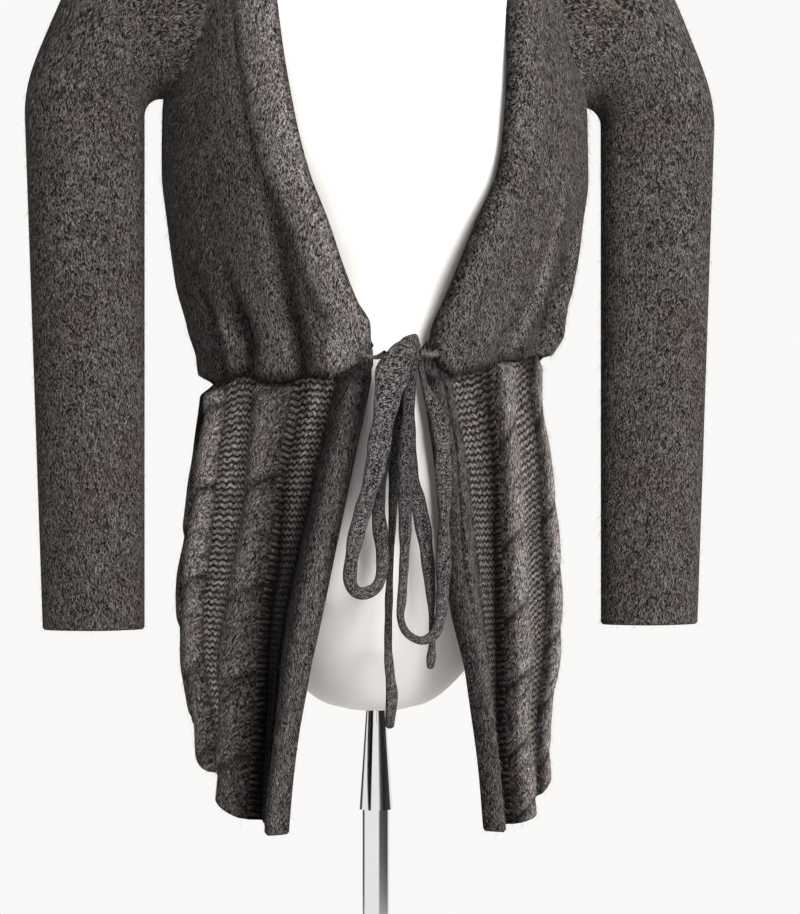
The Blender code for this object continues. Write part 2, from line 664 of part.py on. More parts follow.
def armhole_ring(side, lift):
    """The armhole's points: up the front from the underarm to the shoulder, and down the back."""
    front = side_places(side, ARMHOLE_FRONT)[BODICE_ROWS_BELOW:]
    back = side_places(side, -ARMHOLE_BACK)[BODICE_ROWS_BELOW:]
    middle = (side * 90, (UNDERARM + SHOULDER_POINT) / 2)
    ring = []
    for place in front + back[-2:0:-1]:
        angle, height = toward(place, middle, SEAM_GAP)
        ring.append(cloth_point(angle, height, bodice_lift(*place) + lift))
    return ring


def sleeve_ring(side, row, inset):
    """Ring row of a sleeve: it turns down from the armhole and then hangs to the cuff."""
    front = BODICE_ROWS_ABOVE
    width, height = cloth_section(UNDERARM)[0], UNDERARM
    turn = min(1.0, row / SLEEVE_BEND_ROWS)
    down = max(0, row - SLEEVE_BEND_ROWS) / SLEEVE_STRAIGHT_ROWS
    lean = math.radians(90 * turn)
    opening = SHOULDER_POINT - UNDERARM
    across = SLEEVE_WIDTH_TOP + (opening - SLEEVE_WIDTH_TOP) * math.cos(lean) ** 5
    across += (SLEEVE_WIDTH_CUFF - SLEEVE_WIDTH_TOP) * down
    depth = SLEEVE_HALF_DEPTH_TOP + (SLEEVE_HALF_DEPTH_CUFF - SLEEVE_HALF_DEPTH_TOP) * down
    depth += SLEEVE_HEAD_DEPTH * math.cos(lean) ** 2
    centre = np.array([side * (width + 1), 0, height - SLEEVE_TURN])
    outward = np.array([side * math.sin(lean), 0, math.cos(lean)])
    fall = np.array([0, 0, -(height - SLEEVE_TURN - SLEEVE_CUFF) * down])
    ring = []
    for k in range(2 * front):
        t = math.pi * k / front
        fold = SLEEVE_FOLD * turn * math.sin(3 * t + 2.4 * down + 0.8) * math.sin(t) ** 2
        reach = SLEEVE_TURN + across * (0.5 - 0.5 * math.cos(t))
        reach += inset * math.cos(t)
        y = -(depth + fold - inset) * math.sin(t)
        ring.append(centre + outward * reach + np.array([0, y, 0]) + fall)
    return ring


def sleeve(name, side, material):
    rows = SLEEVE_BEND_ROWS + SLEEVE_STRAIGHT_ROWS
    outer, inner = [armhole_ring(side, 0.0)], [armhole_ring(side, -PLAIN_WALL)]
    for row in range(1, rows + 1):
        outer.append(sleeve_ring(side, row, 0.0))
        inner.append(sleeve_ring(side, row, PLAIN_WALL))
    if side > 0:
        outer, inner = [ring[::-1] for ring in outer], [ring[::-1] for ring in inner]
    return tube_wall(name, outer, inner, material)


# ---- the skirt ---------------------------------------------------------------------------------------------

def hem_height(angle):
    from_front = abs((angle + 180) % 360 - 180)
    rise = smooth_step((from_front - HEM_RISES_FROM) / (HEM_RISES_TO - HEM_RISES_FROM))
    return HEM_FRONT + (HEM_BACK - HEM_FRONT) * rise


def skirt_grid(columns_at):
    """Rows of (angle, height, lift, relief) from the hem up. A column runs from its own place on the hem."""
    top = WAIST_SEAM - SEAM_GAP / 2
    hems = [HEM_FRONT] * len(columns_at(HEM_FRONT))
    for _ in range(HEM_PASSES):
        hems = [hem_height(columns_at(height)[c][0]) for c, height in enumerate(hems)]
    grid = []
    for r in range(SKIRT_ROWS + 1):
        row = []
        for c, hem in enumerate(hems):
            height = hem + (top - hem) * r / SKIRT_ROWS
            angle, lift, relief = columns_at(height)[c]
            row.append((angle, height, lift, relief))
        grid.append(row)
    return grid


def trimmed(row, start, end):
    """The row with its first and last places drawn in from their seams by these distances."""
    row = list(row)
    angle, height, *rest = row[0]
    row[0] = (angle + start / across_speed(angle, height), height, *rest)
    angle, height, *rest = row[-1]
    row[-1] = (angle - end / across_speed(angle, height), height, *rest)
    return row


def skirt_front(name, side, material):
    def columns_at(height):
        return stripe_columns(side, height, BAND_LINES, len(LEFT_LINES) - 1)[::side]

    gap = SEAM_GAP / 2
    grid = [trimmed(row, gap, gap) for row in skirt_grid(columns_at)]
    return cloth_wall(name, grid, PLAIN_WALL, material, (2, 2))


def skirt_back(name, material):
    gap = SEAM_GAP / 2
    grid = [trimmed(row, gap, gap) for row in skirt_grid(back_columns)]
    return cloth_wall(name, grid, PLAIN_WALL, material, (2, 2))


def skirt_band(name, side, material):
    """The band down one edge of the skirt. Its top is joined to the bodice's band, under the tie."""
    def columns_at(height):
        return stripe_columns(side, height, 0, BAND_LINES)[::side]

    gap = SEAM_GAP / 2
    grid = []
    for r, row in enumerate(skirt_grid(columns_at)):
        row = trimmed(row, 0, gap) if side > 0 else trimmed(row, gap, 0)
        if r == SKIRT_ROWS:
            last = len(row) - 1
            for c, (angle, _, lift, relief) in enumerate(row):
                t = c / last if side > 0 else 1 - c / last
                height = BAND_SEAM_AT_EDGE + (WAIST_SEAM - BAND_SEAM_AT_EDGE) * t - gap
                row[c] = (angle, height, lift, relief)
        grid.append(row)
    return cloth_wall(name, grid, BAND_WALL, material, (2, 2))


# ---- the form, the stand and the tie ----------------------------------------------------------------------

def turned(name, rings, material):
    """A closed solid from level rings of points, lowest first."""
    round_it = len(rings[0])
    points = [p for ring in rings for p in ring]
    faces = [tuple(reversed(range(round_it)))]
    for r in range(len(rings) - 1):
        for c in range(round_it):
            d = (c + 1) % round_it
            faces.append((r * round_it + c, r * round_it + d, (r + 1) * round_it + d, (r + 1) * round_it + c))
    last = (len(rings) - 1) * round_it
    faces.append(tuple(range(last, last + round_it)))
    return add_object(name, points, faces, material)


def form_ring(height):
    sizes = read_table(FORM_SECTIONS, height)
    return [section_point(*sizes, 360 * k / FORM_CORNERS, height) for k in range(FORM_CORNERS)]


def round_ring(radius, height):
    return [section_point(radius, radius, radius, 360 * k / STAND_CORNERS, height) for k in range(STAND_CORNERS)]


def tie_cord(name, route, material):
    """A round cord on a smooth curve through its route's points."""
    route = np.array(route)
    ends = np.vstack([2 * route[0] - route[1], route, 2 * route[-1] - route[-2]])
    line = []
    for i in range(len(route) - 1):
        p0, p1, p2, p3 = ends[i:i + 4]
        steps = max(1, round(np.linalg.norm(p2 - p1) / TIE_POINT_EVERY))
        for k in range(steps):
            t = k / steps
            line.append(
                0.5 * (2 * p1 + (p2 - p0) * t + (2 * p0 - 5 * p1 + 4 * p2 - p3) * t**2
                       + (3 * p1 - p0 - 3 * p2 + p3) * t**3)
            )
    line.append(route[-1])
    curve = bpy.data.curves.new(name, "CURVE")
    curve.dimensions = "3D"
    curve.bevel_depth = TIE_DIAMETER / 2 * MM
    curve.bevel_resolution = 2
    curve.use_fill_caps = True
    spline = curve.splines.new("POLY")
    spline.points.add(len(line) - 1)
    for point, place in zip(spline.points, line):
        point.co = (*(place * MM), 1)
    curve.materials.append(material)
    thing = bpy.data.objects.new(name, curve)
    bpy.context.collection.objects.link(thing)
    return thing


def squared(share):
    """A sine or cosine bent towards the sides of a rectangle."""
    return math.copysign(abs(share) ** KNOT_SQUARENESS, share)


def tie_knot(name, material):
    """The bow's knot: a block with well rounded corners and a flat underside, where the bow comes out."""
    low, high = np.array(KNOT_LOW), np.array(KNOT_HIGH)
    middle = (low + high)[:2] / 2
    rings = []
    for above, inset in KNOT_RINGS:
        half = (high - low)[:2] / 2 - inset
        ring = []
        for k in range(KNOT_CORNERS):
            turn = 2 * math.pi * k / KNOT_CORNERS
            corner = np.array([squared(math.sin(turn)), -squared(math.cos(turn))])
            ring.append((*(middle + half * corner), low[2] + above))
        rings.append(ring)
    return turned(name, rings, material)


def build():
    for thing in list(bpy.data.objects):
        bpy.data.objects.remove(thing, do_unlink=True)

    plain = principled("charcoal plain knit", (0.075, 0.068, 0.068), 0.95)
    cabled = principled("charcoal cable knit", (0.095, 0.085, 0.086), 0.95)
    band = principled("charcoal band knit", (0.078, 0.074, 0.076), 0.95)
    tape = principled("charcoal tie tape", (0.09, 0.085, 0.085), 0.95)
    shell = principled("white form shell", (0.86, 0.84, 0.81), 0.45)
    chrome = principled("chrome", (0.8, 0.8, 0.8), 0.12, 1.0)

    for side, which in ((1, "left"), (-1, "right")):
        bodice_front(f"bodice_front_{which}", side, plain)
        bodice_band(f"bodice_band_{which}", side, band)
        sleeve(f"sleeve_{which}", side, plain)
        skirt_front(f"skirt_front_{which}", side, cabled)
        skirt_band(f"skirt_band_{which}", side, band)
    bodice_back("bodice_back", plain)
    neck_band("neck_band", band)
    skirt_back("skirt_back", cabled)

    tie_knot("tie_knot", tape)
    for name, route in TIE_ROUTES.items():
        tie_cord(name, route, tape)

    turned("form_torso", [form_ring(z) for z in FORM_RINGS], shell)
    turned(
        "form_neck_cap",
        [
            round_ring(NECK_CAP_RADIUS, FORM_TOP + SEAM_GAP),
            round_ring(NECK_CAP_RADIUS, FORM_TOP + NECK_CAP_HEIGHT - NECK_CAP_RIM),
            round_ring(NECK_CAP_RADIUS - NECK_CAP_RIM, FORM_TOP + NECK_CAP_HEIGHT),
        ],
        chrome,
    )
    socket_top = FORM_BOTTOM - SEAM_GAP
    socket_bottom = socket_top - SOCKET_LENGTH
    turned(
        "stand_socket",
        [round_ring(SOCKET_BOTTOM_RADIUS, socket_bottom), round_ring(SOCKET_TOP_RADIUS, socket_top)],
        chrome,
    )
    turned(
        "stand_pole",
        [round_ring(POLE_RADIUS, BASE_THICKNESS + SEAM_GAP), round_ring(POLE_RADIUS, socket_bottom - SEAM_GAP)],
        chrome,
    )
    turned(
        "stand_base",
        [
            round_ring(BASE_RADIUS, 0),
            round_ring(BASE_RADIUS, BASE_THICKNESS - BASE_RIM),
            round_ring(BASE_RADIUS - BASE_RIM, BASE_THICKNESS),
        ],
        chrome,
    )


build()
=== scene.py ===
"""The looks of a long knitted cardigan, charcoal wool and mohair with cables, on a limbless dress form.

Sizes in the tables are millimetres and degrees, in the part's own frame: the origin on the floor under the
pole, +Z up, the garment's front towards -Y. A place on the cloth is (angle, height): 0 degrees is the centre
front, +90 the wearer's left side, 180 the back.
"""

import math

import bpy
import numpy as np
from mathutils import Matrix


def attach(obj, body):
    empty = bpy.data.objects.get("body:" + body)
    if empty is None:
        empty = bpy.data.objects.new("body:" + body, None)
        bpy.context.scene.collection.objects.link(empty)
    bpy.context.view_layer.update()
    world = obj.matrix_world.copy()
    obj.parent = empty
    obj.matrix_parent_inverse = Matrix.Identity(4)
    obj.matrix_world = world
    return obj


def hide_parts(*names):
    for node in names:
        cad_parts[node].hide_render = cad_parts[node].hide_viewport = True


MM = 0.001

# ---- knitting sizes ------------------------------------------------------------------------------
WALE = 5.4                  # one stitch across
COURSE = 5.0                # one stitch up
PLAIN_WALL = 2.6
BAND_WALL = 3.4
TURNED_IN = 8.0             # how far an edge's facing reaches behind it

# ---- the yarn ------------------------------------------------------------------------------------
STROKE_LEANS = (-20, 16)    # how far the paler fibres lean, in degrees
FLECK_RANGE = (0.42, 1.0)   # below the first a fibre is as dark as the yarn, at the second it is palest
FLECK_CURVE = 1.7
NAP_SCALES = (0.55, 0.14, 0.02)     # waves a millimetre: the brushed nap, its clumps, the drift of the dye
NAP_CONTRAST = 0.45
CLUMP_CONTRAST = 0.2
NAP_BUMP = 0.6              # how much of the stitches' height the nap has
STITCH_BUMP = 0.9           # how high a stitch is
HOLLOW_SHADE = 0.12         # painted shade: how light the yarn's colour is made between two stitches
PURL_ROUNDNESS = 0.7        # below 1 a purl ridge is plump
PURL_WAVE = 0.15            # it waves by this share of a course
PURL_PALER = 0.12           # painted light: its colour is made paler, as it catches more light than a flat drawing of it would
PURL_WARMTH = 0.55          # less of the grey nap covers the purl side, so that it looks browner

# ---- loose mohair --------------------------------------------------------------------------------
HAIR_WIDTH = 0.15           # several times a real hair's, so that it shows
HAIR_SPREAD = 0.38          # how far hairs stray from hanging straight down
HAIR_BEND = 0.16
PURL_BARENESS = 0.7         # how many fewer show on the purl side
FRONT_FUZZ, BACK_FUZZ, TAPE_FUZZ = 18, 9, 16                # hairs to a square centimetre
BODICE_HAIR, SKIRT_HAIR, TAPE_HAIR = 10.0, 9.0, 6.0         # and how long the longest are

# ---- cables --------------------------------------------------------------------------------------
CABLE_HEIGHT = 8.0
CABLE_CROSSING = 72.0       # on the back; the fronts' are stretched unevenly, and a table gives each one
CROSSING_SLANT = 10.0       # how far a crossing's groove climbs from the middle of a cable to its edge
CROSSING_BOW = 0.3          # by what share of that it sags at both edges
STRAND_TIP = 11.0           # a strand comes up out of the groove with a round end this long
STRAND_DIVE = 0.3           # and loses this share of its height before it goes under the next one
STRAND_DRIFT = 0.6          # its stitches move across by this share of half a cable on the way
PINCH, PINCH_REACH = 0.14, 9.0      # how much narrower a cable is at its crossings
GROOVE_SHADE = 0.9          # painted shade: how much darker the colour is made where two strands meet
GROOVE_WIDTH = 2.8
GROOVE_BELOW = 0.6          # below the groove a millimetre counts for this much, so its shade reaches further
DIVE_SHADE = 0.35           # painted shade: how much darker a strand's colour is made where it goes under the next one
TIP_LIGHT, TIP_PLACE, TIP_REACH = 0.3, 9.0, 6.0     # painted highlight: the round end's colour is made lighter this far above the groove
ROLL_EDGE_SHADE = 0.7       # painted shade: how light a cable's colour is made along its two sides

# ---- dress form: height, half width, half depth in front, half depth behind ----------------------
FORM_SECTIONS = (
    (771, 22, 22, 22),
    (776, 41, 38, 38),
    (786, 56, 50, 50),
    (802, 72, 62, 62),
    (825, 90, 75, 74),
    (860, 113, 89, 88),
    (900, 127, 97, 97),
    (940, 127, 98, 98),
    (985, 119, 93, 92),
    (1050, 108, 87, 85),
    (1095, 117, 91, 88),
    (1150, 136, 107, 97),
    (1205, 149, 119, 104),
    (1245, 151, 114, 105),
    (1290, 154, 103, 101),
    (1330, 160, 92, 93),
    (1365, 167, 82, 84),
    (1388, 167, 76, 78),
    (1402, 157, 71, 74),
    (1418, 136, 67, 70),
    (1434, 108, 63, 66),
    (1448, 82, 60, 63),
    (1462, 64, 56, 60),
    (1485, 56, 52, 55),
    (1540, 52, 48, 50),
)
FORM_BOTTOM, FORM_TOP = 771, 1540

# ---- the cloth's plain surface: the same columns -------------------------------------------------
DRAPE_SECTIONS = (
    (640, 140, 120, 112),
    (755, 141, 118, 112),
    (822, 150, 120, 116),
    (854, 151, 119, 116),
    (905, 147, 116, 113),
    (974, 141, 111, 108),
    (1032, 134, 106, 101),
    (1050, 135, 106, 101),
    (1078, 149, 110, 104),
    (1110, 160, 118, 109),
    (1150, 166, 126, 113),
    (1197, 171, 132, 117),
    (1240, 171, 128, 117),
    (1270, 169, 121, 113),
    (1305, 167, 111, 107),
    (1340, 167, 100, 100),
    (1370, 171, 89, 92),
)
REST_FROM, REST_TO = 1270, 1370
REST_OUT, REST_UP = 1.2, 1.7

# ---- seams ---------------------------------------------------------------------------------------
HEM_FRONT, HEM_BACK = 685, 812
HEM_RISES_FROM, HEM_RISES_TO = 40, 150
WAIST_SEAM = 1032
BAND_SEAM_AT_EDGE = 1047
UNDERARM = 1255
SHOULDER_POINT = 1402
SHOULDER_NECK = 1430
BACK_NECK = 1425
NECK_EDGE_SHOULDER, NECK_EDGE_BACK = 1447, 1452
ARMHOLE_FRONT, ARMHOLE_BACK = 30, 25

# seam height, edge height, edge's distance from the centre on the wearer's left and right, seam's likewise
BAND_TABLE = (
    (1032, 1032, 20, 20, 47, 52),
    (1052, 1052, 24, 21, 53, 53),
    (1072, 1072, 28, 22, 58, 55),
    (1090, 1090, 36, 33, 66, 65),
    (1115, 1115, 46, 44, 77, 76),
    (1150, 1150, 60, 57, 92, 89),
    (1190, 1190, 78, 73, 112, 106),
    (1240, 1240, 86, 84, 119, 117),
    (1297, 1300, 91, 91, 122, 122),
    (1336, 1345, 93, 93, 124, 124),
    (1368, 1380, 93, 93, 124, 124),
    (1392, 1410, 91, 91, 123, 123),
    (1413, 1430, 89, 89, 121, 121),
    (1430, 1447, 86, 86, 118, 118),
)

# angle and height where it starts, in its middle and where it ends, half width in degrees, height
BODICE_FOLDS = (
    ((-33, 1030), (-34, 1106), (-40, 1215), 6.0, -7.0),
    ((-56, 1030), (-51, 1070), (-62, 1150), 6.0, -5.5),
    ((-70, 1035), (-66, 1085), (-80, 1160), 6.0, -4.0),
    ((-27, 1034), (-27, 1056), (-29, 1090), 6.5, 4.0),
    ((-43, 1034), (-43, 1058), (-47, 1110), 8.0, 5.0),
    ((-63, 1034), (-62, 1055), (-66, 1095), 6.0, 3.5),
    ((46, 1062), (50, 1110), (60, 1200), 5.0, 3.5),
    ((55, 1058), (61, 1115), (72, 1190), 7.0, -5.0),
    ((58, 1036), (60, 1052), (62, 1074), 7.0, 5.0),
    ((36, 1034), (38, 1060), (42, 1100), 5.0, -2.0),
    ((76, 1034), (77, 1056), (80, 1100), 6.0, 3.0),
)
# finer folds that the solids leave out, in the same terms
FINE_FOLDS = (
    ((62, 1040), (66, 1100), (78, 1260), 5.5, 4.0),
    ((74, 1040), (77, 1110), (88, 1250), 7.0, -5.0),
    ((52, 1036), (53, 1060), (56, 1110), 5.0, 3.0),
    ((67, 1036), (69, 1062), (72, 1100), 4.0, 4.5),
    ((30, 1036), (31, 1062), (33, 1120), 4.0, 2.0),
    ((-50, 1034), (-54, 1090), (-70, 1190), 3.0, 3.0),
    ((-76, 1034), (-78, 1080), (-84, 1150), 4.0, 3.0),
    ((-30, 1034), (-31, 1052), (-33, 1080), 4.0, 2.0),
)
# painted highlight and shade: how much lighter or darker the colour is made along the drawn folds, in the same
# terms
PAINTED_FOLD_LIGHTS = (
    ((42.5, 1058), (46.5, 1108), (58, 1230), 1.9, 0.7),
    ((47.5, 1058), (52, 1108), (64, 1230), 5.0, -0.35),
    ((-55, 1052), (-60, 1076), (-78, 1135), 3.2, 0.45),
    ((-50, 1052), (-54, 1082), (-68, 1150), 3.0, -0.25),
)
VISUAL_FOLDS = 1.35         # the folds are deeper in the knit than in the solids
WAIST_RISE = 20             # how far the waist seam climbs towards the wearer's left side
WAIST_WAVE = 2.6            # and how far it wavers
BODICE_FOLLOWS, SKIRT_FOLLOWS = 120, 100    # how far up and down from it the cloth goes along with it
PUFF = 5.5                  # the gathers bulge over the waist seam
PUFF_REACH = 46
BAND_SEAM_DIP = 1.3         # how deep the cloth lies where a front is sewn to its band
DEGREE_OF_BODICE = 2.8      # how many millimetres of knit there are to a degree of the bodice,
DEGREE_OF_BAND = 2.3        # of its bands
DEGREE_OF_NECK = 1.8        # and of the neck band
DEGREE_OF_BACK = 2.3        # and of the skirt's back
BODICE_BAND_ROLL = 5.0      # how far a band stands out along its middle
BODICE_BAND_PAINTED_LIGHT = {1: 1.0, -1: 1.9}       # painted light: how much lighter its colour is made on the wearer's left and right
EDGE_UNDER = 4.0            # how far its lower end tucks under the bulge
EDGE_CURL = 8.0             # how far its free edge curls in towards the form
CORNER_ROUND = 11           # how much higher its corner is than a straight lower edge
BACK_GATHERS = 7
BACK_GATHER_HEIGHT = 4.0
BACK_GATHER_REACH = 70      # how far up from the waist they run

# ---- the skirt's lines: name, how far the cloth stands out there, angle at each height -----------
SKIRT_HEIGHTS = (1032, 975, 905, 855, 800, 755, 640)
LEFT_LINES = (
    ("opening edge", 1.0, (8.5, 11.4, 13.4, 15.8, 21.8, 26.4, 32.4)),
    ("band middle", 4.0, (13.6, 16.8, 17.2, 19.4, 24.6, 29.1, 35.6)),
    ("band seam", -1.0, (19.7, 23.7, 26.9, 28.2, 33.1, 37.0, 44.0)),
    ("first purl", -1.5, (25.3, 29.5, 31.4, 31.6, 35.0, 39.0, 46.5)),
    ("channel", -4.0, (35.5, 36.8, 35.5, 34.4, 36.6, 40.2, 48.8)),
    ("first cable, inner", -5.0, (37.0, 38.0, 36.8, 35.9, 38.0, 41.6, 50.5)),
    ("first cable, outer", -1.0, (47.6, 46.6, 46.8, 46.6, 48.6, 52.5, 61.5)),
    ("second purl", -3.5, (57.0, 56.5, 55.5, 55.2, 56.0, 58.5, 66.0)),
    ("second cable, inner", -6.0, (66.5, 68.0, 64.5, 63.6, 63.8, 64.5, 71.0)),
    ("second cable, outer", -3.5, (81.0, 81.0, 79.0, 79.0, 79.0, 80.0, 83.0)),
    ("side seam", -7.0, (90.0, 90.0, 90.0, 90.0, 90.0, 90.0, 90.0)),
)
RIGHT_LINES = (
    ("opening edge", 1.0, (8.9, 13.8, 19.5, 23.3, 29.0, 34.0, 39.5)),
    ("band middle", 5.0, (15.0, 19.5, 25.3, 28.6, 33.6, 38.0, 43.3)),
    ("band seam", -1.0, (21.4, 26.8, 32.6, 36.6, 41.2, 45.6, 50.6)),
    ("first purl", -2.0, (27.0, 31.8, 36.8, 40.4, 44.6, 48.8, 53.6)),
    ("channel", -8.0, (35.2, 38.4, 40.8, 44.0, 47.2, 51.6, 57.0)),
    ("first cable, inner", -4.0, (36.9, 40.2, 42.3, 45.4, 48.6, 53.0, 59.0)),
    ("first cable, outer", -1.0, (53.9, 52.3, 54.9, 59.4, 65.0, 68.5, 74.0)),
    ("second purl", -3.0, (62.0, 60.8, 62.8, 66.8, 71.0, 74.0, 79.0)),
    ("second cable, inner", -5.0, (74.0, 75.0, 76.5, 78.0, 79.0, 80.0, 83.0)),
    ("second cable, outer", -1.0, (84.0, 85.0, 86.0, 86.5, 87.0, 87.5, 88.5)),
    ("side seam", -3.0, (90.0, 90.0, 90.0, 90.0, 90.0, 90.0, 90.0)),
)
BAND_LINES = 2
# how many stitches lie between one line and the next
PANEL_STITCHES = (4, 4, 2.5, 2.5, 0.6, 4, 2.4, 2.4, 4, 3)
FIRST_CABLE = 5
CABLE_STITCHES = 4.0
LIT_FROM = {1: 0.5, -1: 0.6}        # share of a cable's width over which it comes out of the channel's shade
CABLE_SWELL = 5.5           # how far the cloth under a cable stands out
# how much deeper than in the solids each line of a front lies, at the waist, at 905 and at the hem
SINK_HEIGHTS = (1032, 905, 640)
LINE_SINKS = (
    (0, 0, 0), (0, 0, 0), (-3, -8, -10), (-4, -12, -15), (-3, -9, -12), (0, -2, -3),
    (-1, -2, -2), (-4, -5, -6), (-1, -2, -2), (-1, -1, -1), (-3, -3, -3),
)
# painted light and shade: how much each line's colour is scaled there at three other heights, on the wearer's
# left and right
SHADE_HEIGHTS = (1032, 905, 800)
LINE_SHADES = {
    1: (
        (0.8, 1, 1), (0.9, 0.9, 1), (1.1, 1.1, 0.8), (0.95, 0.9, 0.6), (0.15, 0.02, 0.02), (0.6, 0.35, 0.3),
        (1.6, 1.7, 1.6), (1.2, 1.25, 1.2), (0.4, 0.3, 0.25), (2.5, 2.6, 2.5), (1.6, 1.6, 1.6),
    ),
    -1: (
        (0.8, 1, 1), (0.95, 0.95, 0.95), (0.5, 0.2, 0.05), (2.1, 0.75, 0.1), (0.7, 0.08, 0.03), (0.6, 0.4, 0.4),
        (1.2, 1.2, 1.2), (3.6, 3.8, 3.8), (3.2, 3.2, 3.2), (1.6, 1.6, 1.6), (1.2, 1.2, 1.2),
    ),
}
# how far the courses climb from the first cable to the side seam, at the same heights as the sinks
COURSE_CLIMB = {1: (2.0, 9.0, 0.0), -1: (0.0, 0.0, 0.0)}
BAND_ROLL = 9.0             # how far the skirt's band stands out along its middle
BAND_EDGE_DROP = 3.0        # and how far it dips at its edges
BAND_GROOVE = {1: 1.0, -1: 0.0}     # the wearer's left band is creased along its middle, the other isn't
CREASE_PLACE, CREASE_WIDTH, CREASE_DEPTH, CREASE_SHADE = 1.08, 0.09, 4.0, 0.8
CREASE_FROM, CREASE_TO = 830, 890       # it deepens between these heights
SEAM_LIFT = -1.5            # how deep the bodice lies at the waist seam
TUCKED_LIFT = -5.0          # and the skirt's top under it
TUCKED_IN = 5               # how far up under the bodice the skirt goes
TUCK_REACH = 13             # and over how many millimetres it comes out from there
BAND_TUCK = 14              # the band comes out this much higher at the opening
CLEAR_OF_FORM = 4.5         # the cloth's outer side keeps this far off the form
BAND_TOP_ROUND = 5
BAND_TOP_RISE = 28          # how far the skirt's band reaches up behind the bodice's at the opening
# heights at which a cable's strands cross, by side of the wearer and line
CABLE_CROSSINGS = {
    (1, 5): (650, 700, 750, 803, 856, 914, 986, 1060),
    (1, 8): (640, 690, 737, 784, 832, 882, 934, 996, 1060),
    (-1, 5): (600, 668, 735, 799, 867, 951, 1026, 1100),
    (-1, 8): (600, 668, 736, 804, 872, 944, 1010, 1080),
}
CABLE_PLUMPNESS = {1: 0.5, -1: 0.85}    # share of its full height that a side's cables are stretched to
GROOVE_SHARE = {1: 0.9, -1: 0.6}        # how much of the crossings' shade shows there
GROOVE_FADE = 0.75          # and how much of that is lost towards the cable's outer edge
BACK_CABLES = 6
BACK_CABLE_SHARE = 0.5      # of the back's width
BACK_CABLE_SWELL = 6.0
BACK_CROSSING_STEP = 25     # each cable's crossings are this much lower than the last one's
BACK_PURL_DEPTH = -3.0
BACK_PURL_SAG = (2.0, 2.5)  # how much deeper it is midway between two cables, at the waist and added below it
FRONT_ROWS, LINE_COLUMNS = 240, 11
BACK_ROWS, BACK_COLUMNS = 150, 34

# ---- sleeves -------------------------------------------------------------------------------------
SLEEVE_CUFF = 838
SLEEVE_TURN = 14            # how far below and beside the underarm the sleeve hangs down from
SLEEVE_WIDTH_TOP, SLEEVE_WIDTH_CUFF = 94, 80
SLEEVE_HALF_DEPTH_TOP, SLEEVE_HALF_DEPTH_CUFF = 31, 25
SLEEVE_HEAD_DEPTH = 14
SLEEVE_FOLD = 2.2
SLEEVE_DRAG = 1.9           # creases across it under the arm and at the elbow
SLEEVE_COLUMNS = 110
MARK_OF_SLEEVE = 12.2       # millimetres of knit from one of the 18 marks round it to the next

# ---- stand ---------------------------------------------------------------------------------------
BASE_THICKNESS = 10
POLE_RADIUS = 11
SOCKET_TOP_RADIUS, SOCKET_BOTTOM_RADIUS, SOCKET_LENGTH = 8, 13.5, 80

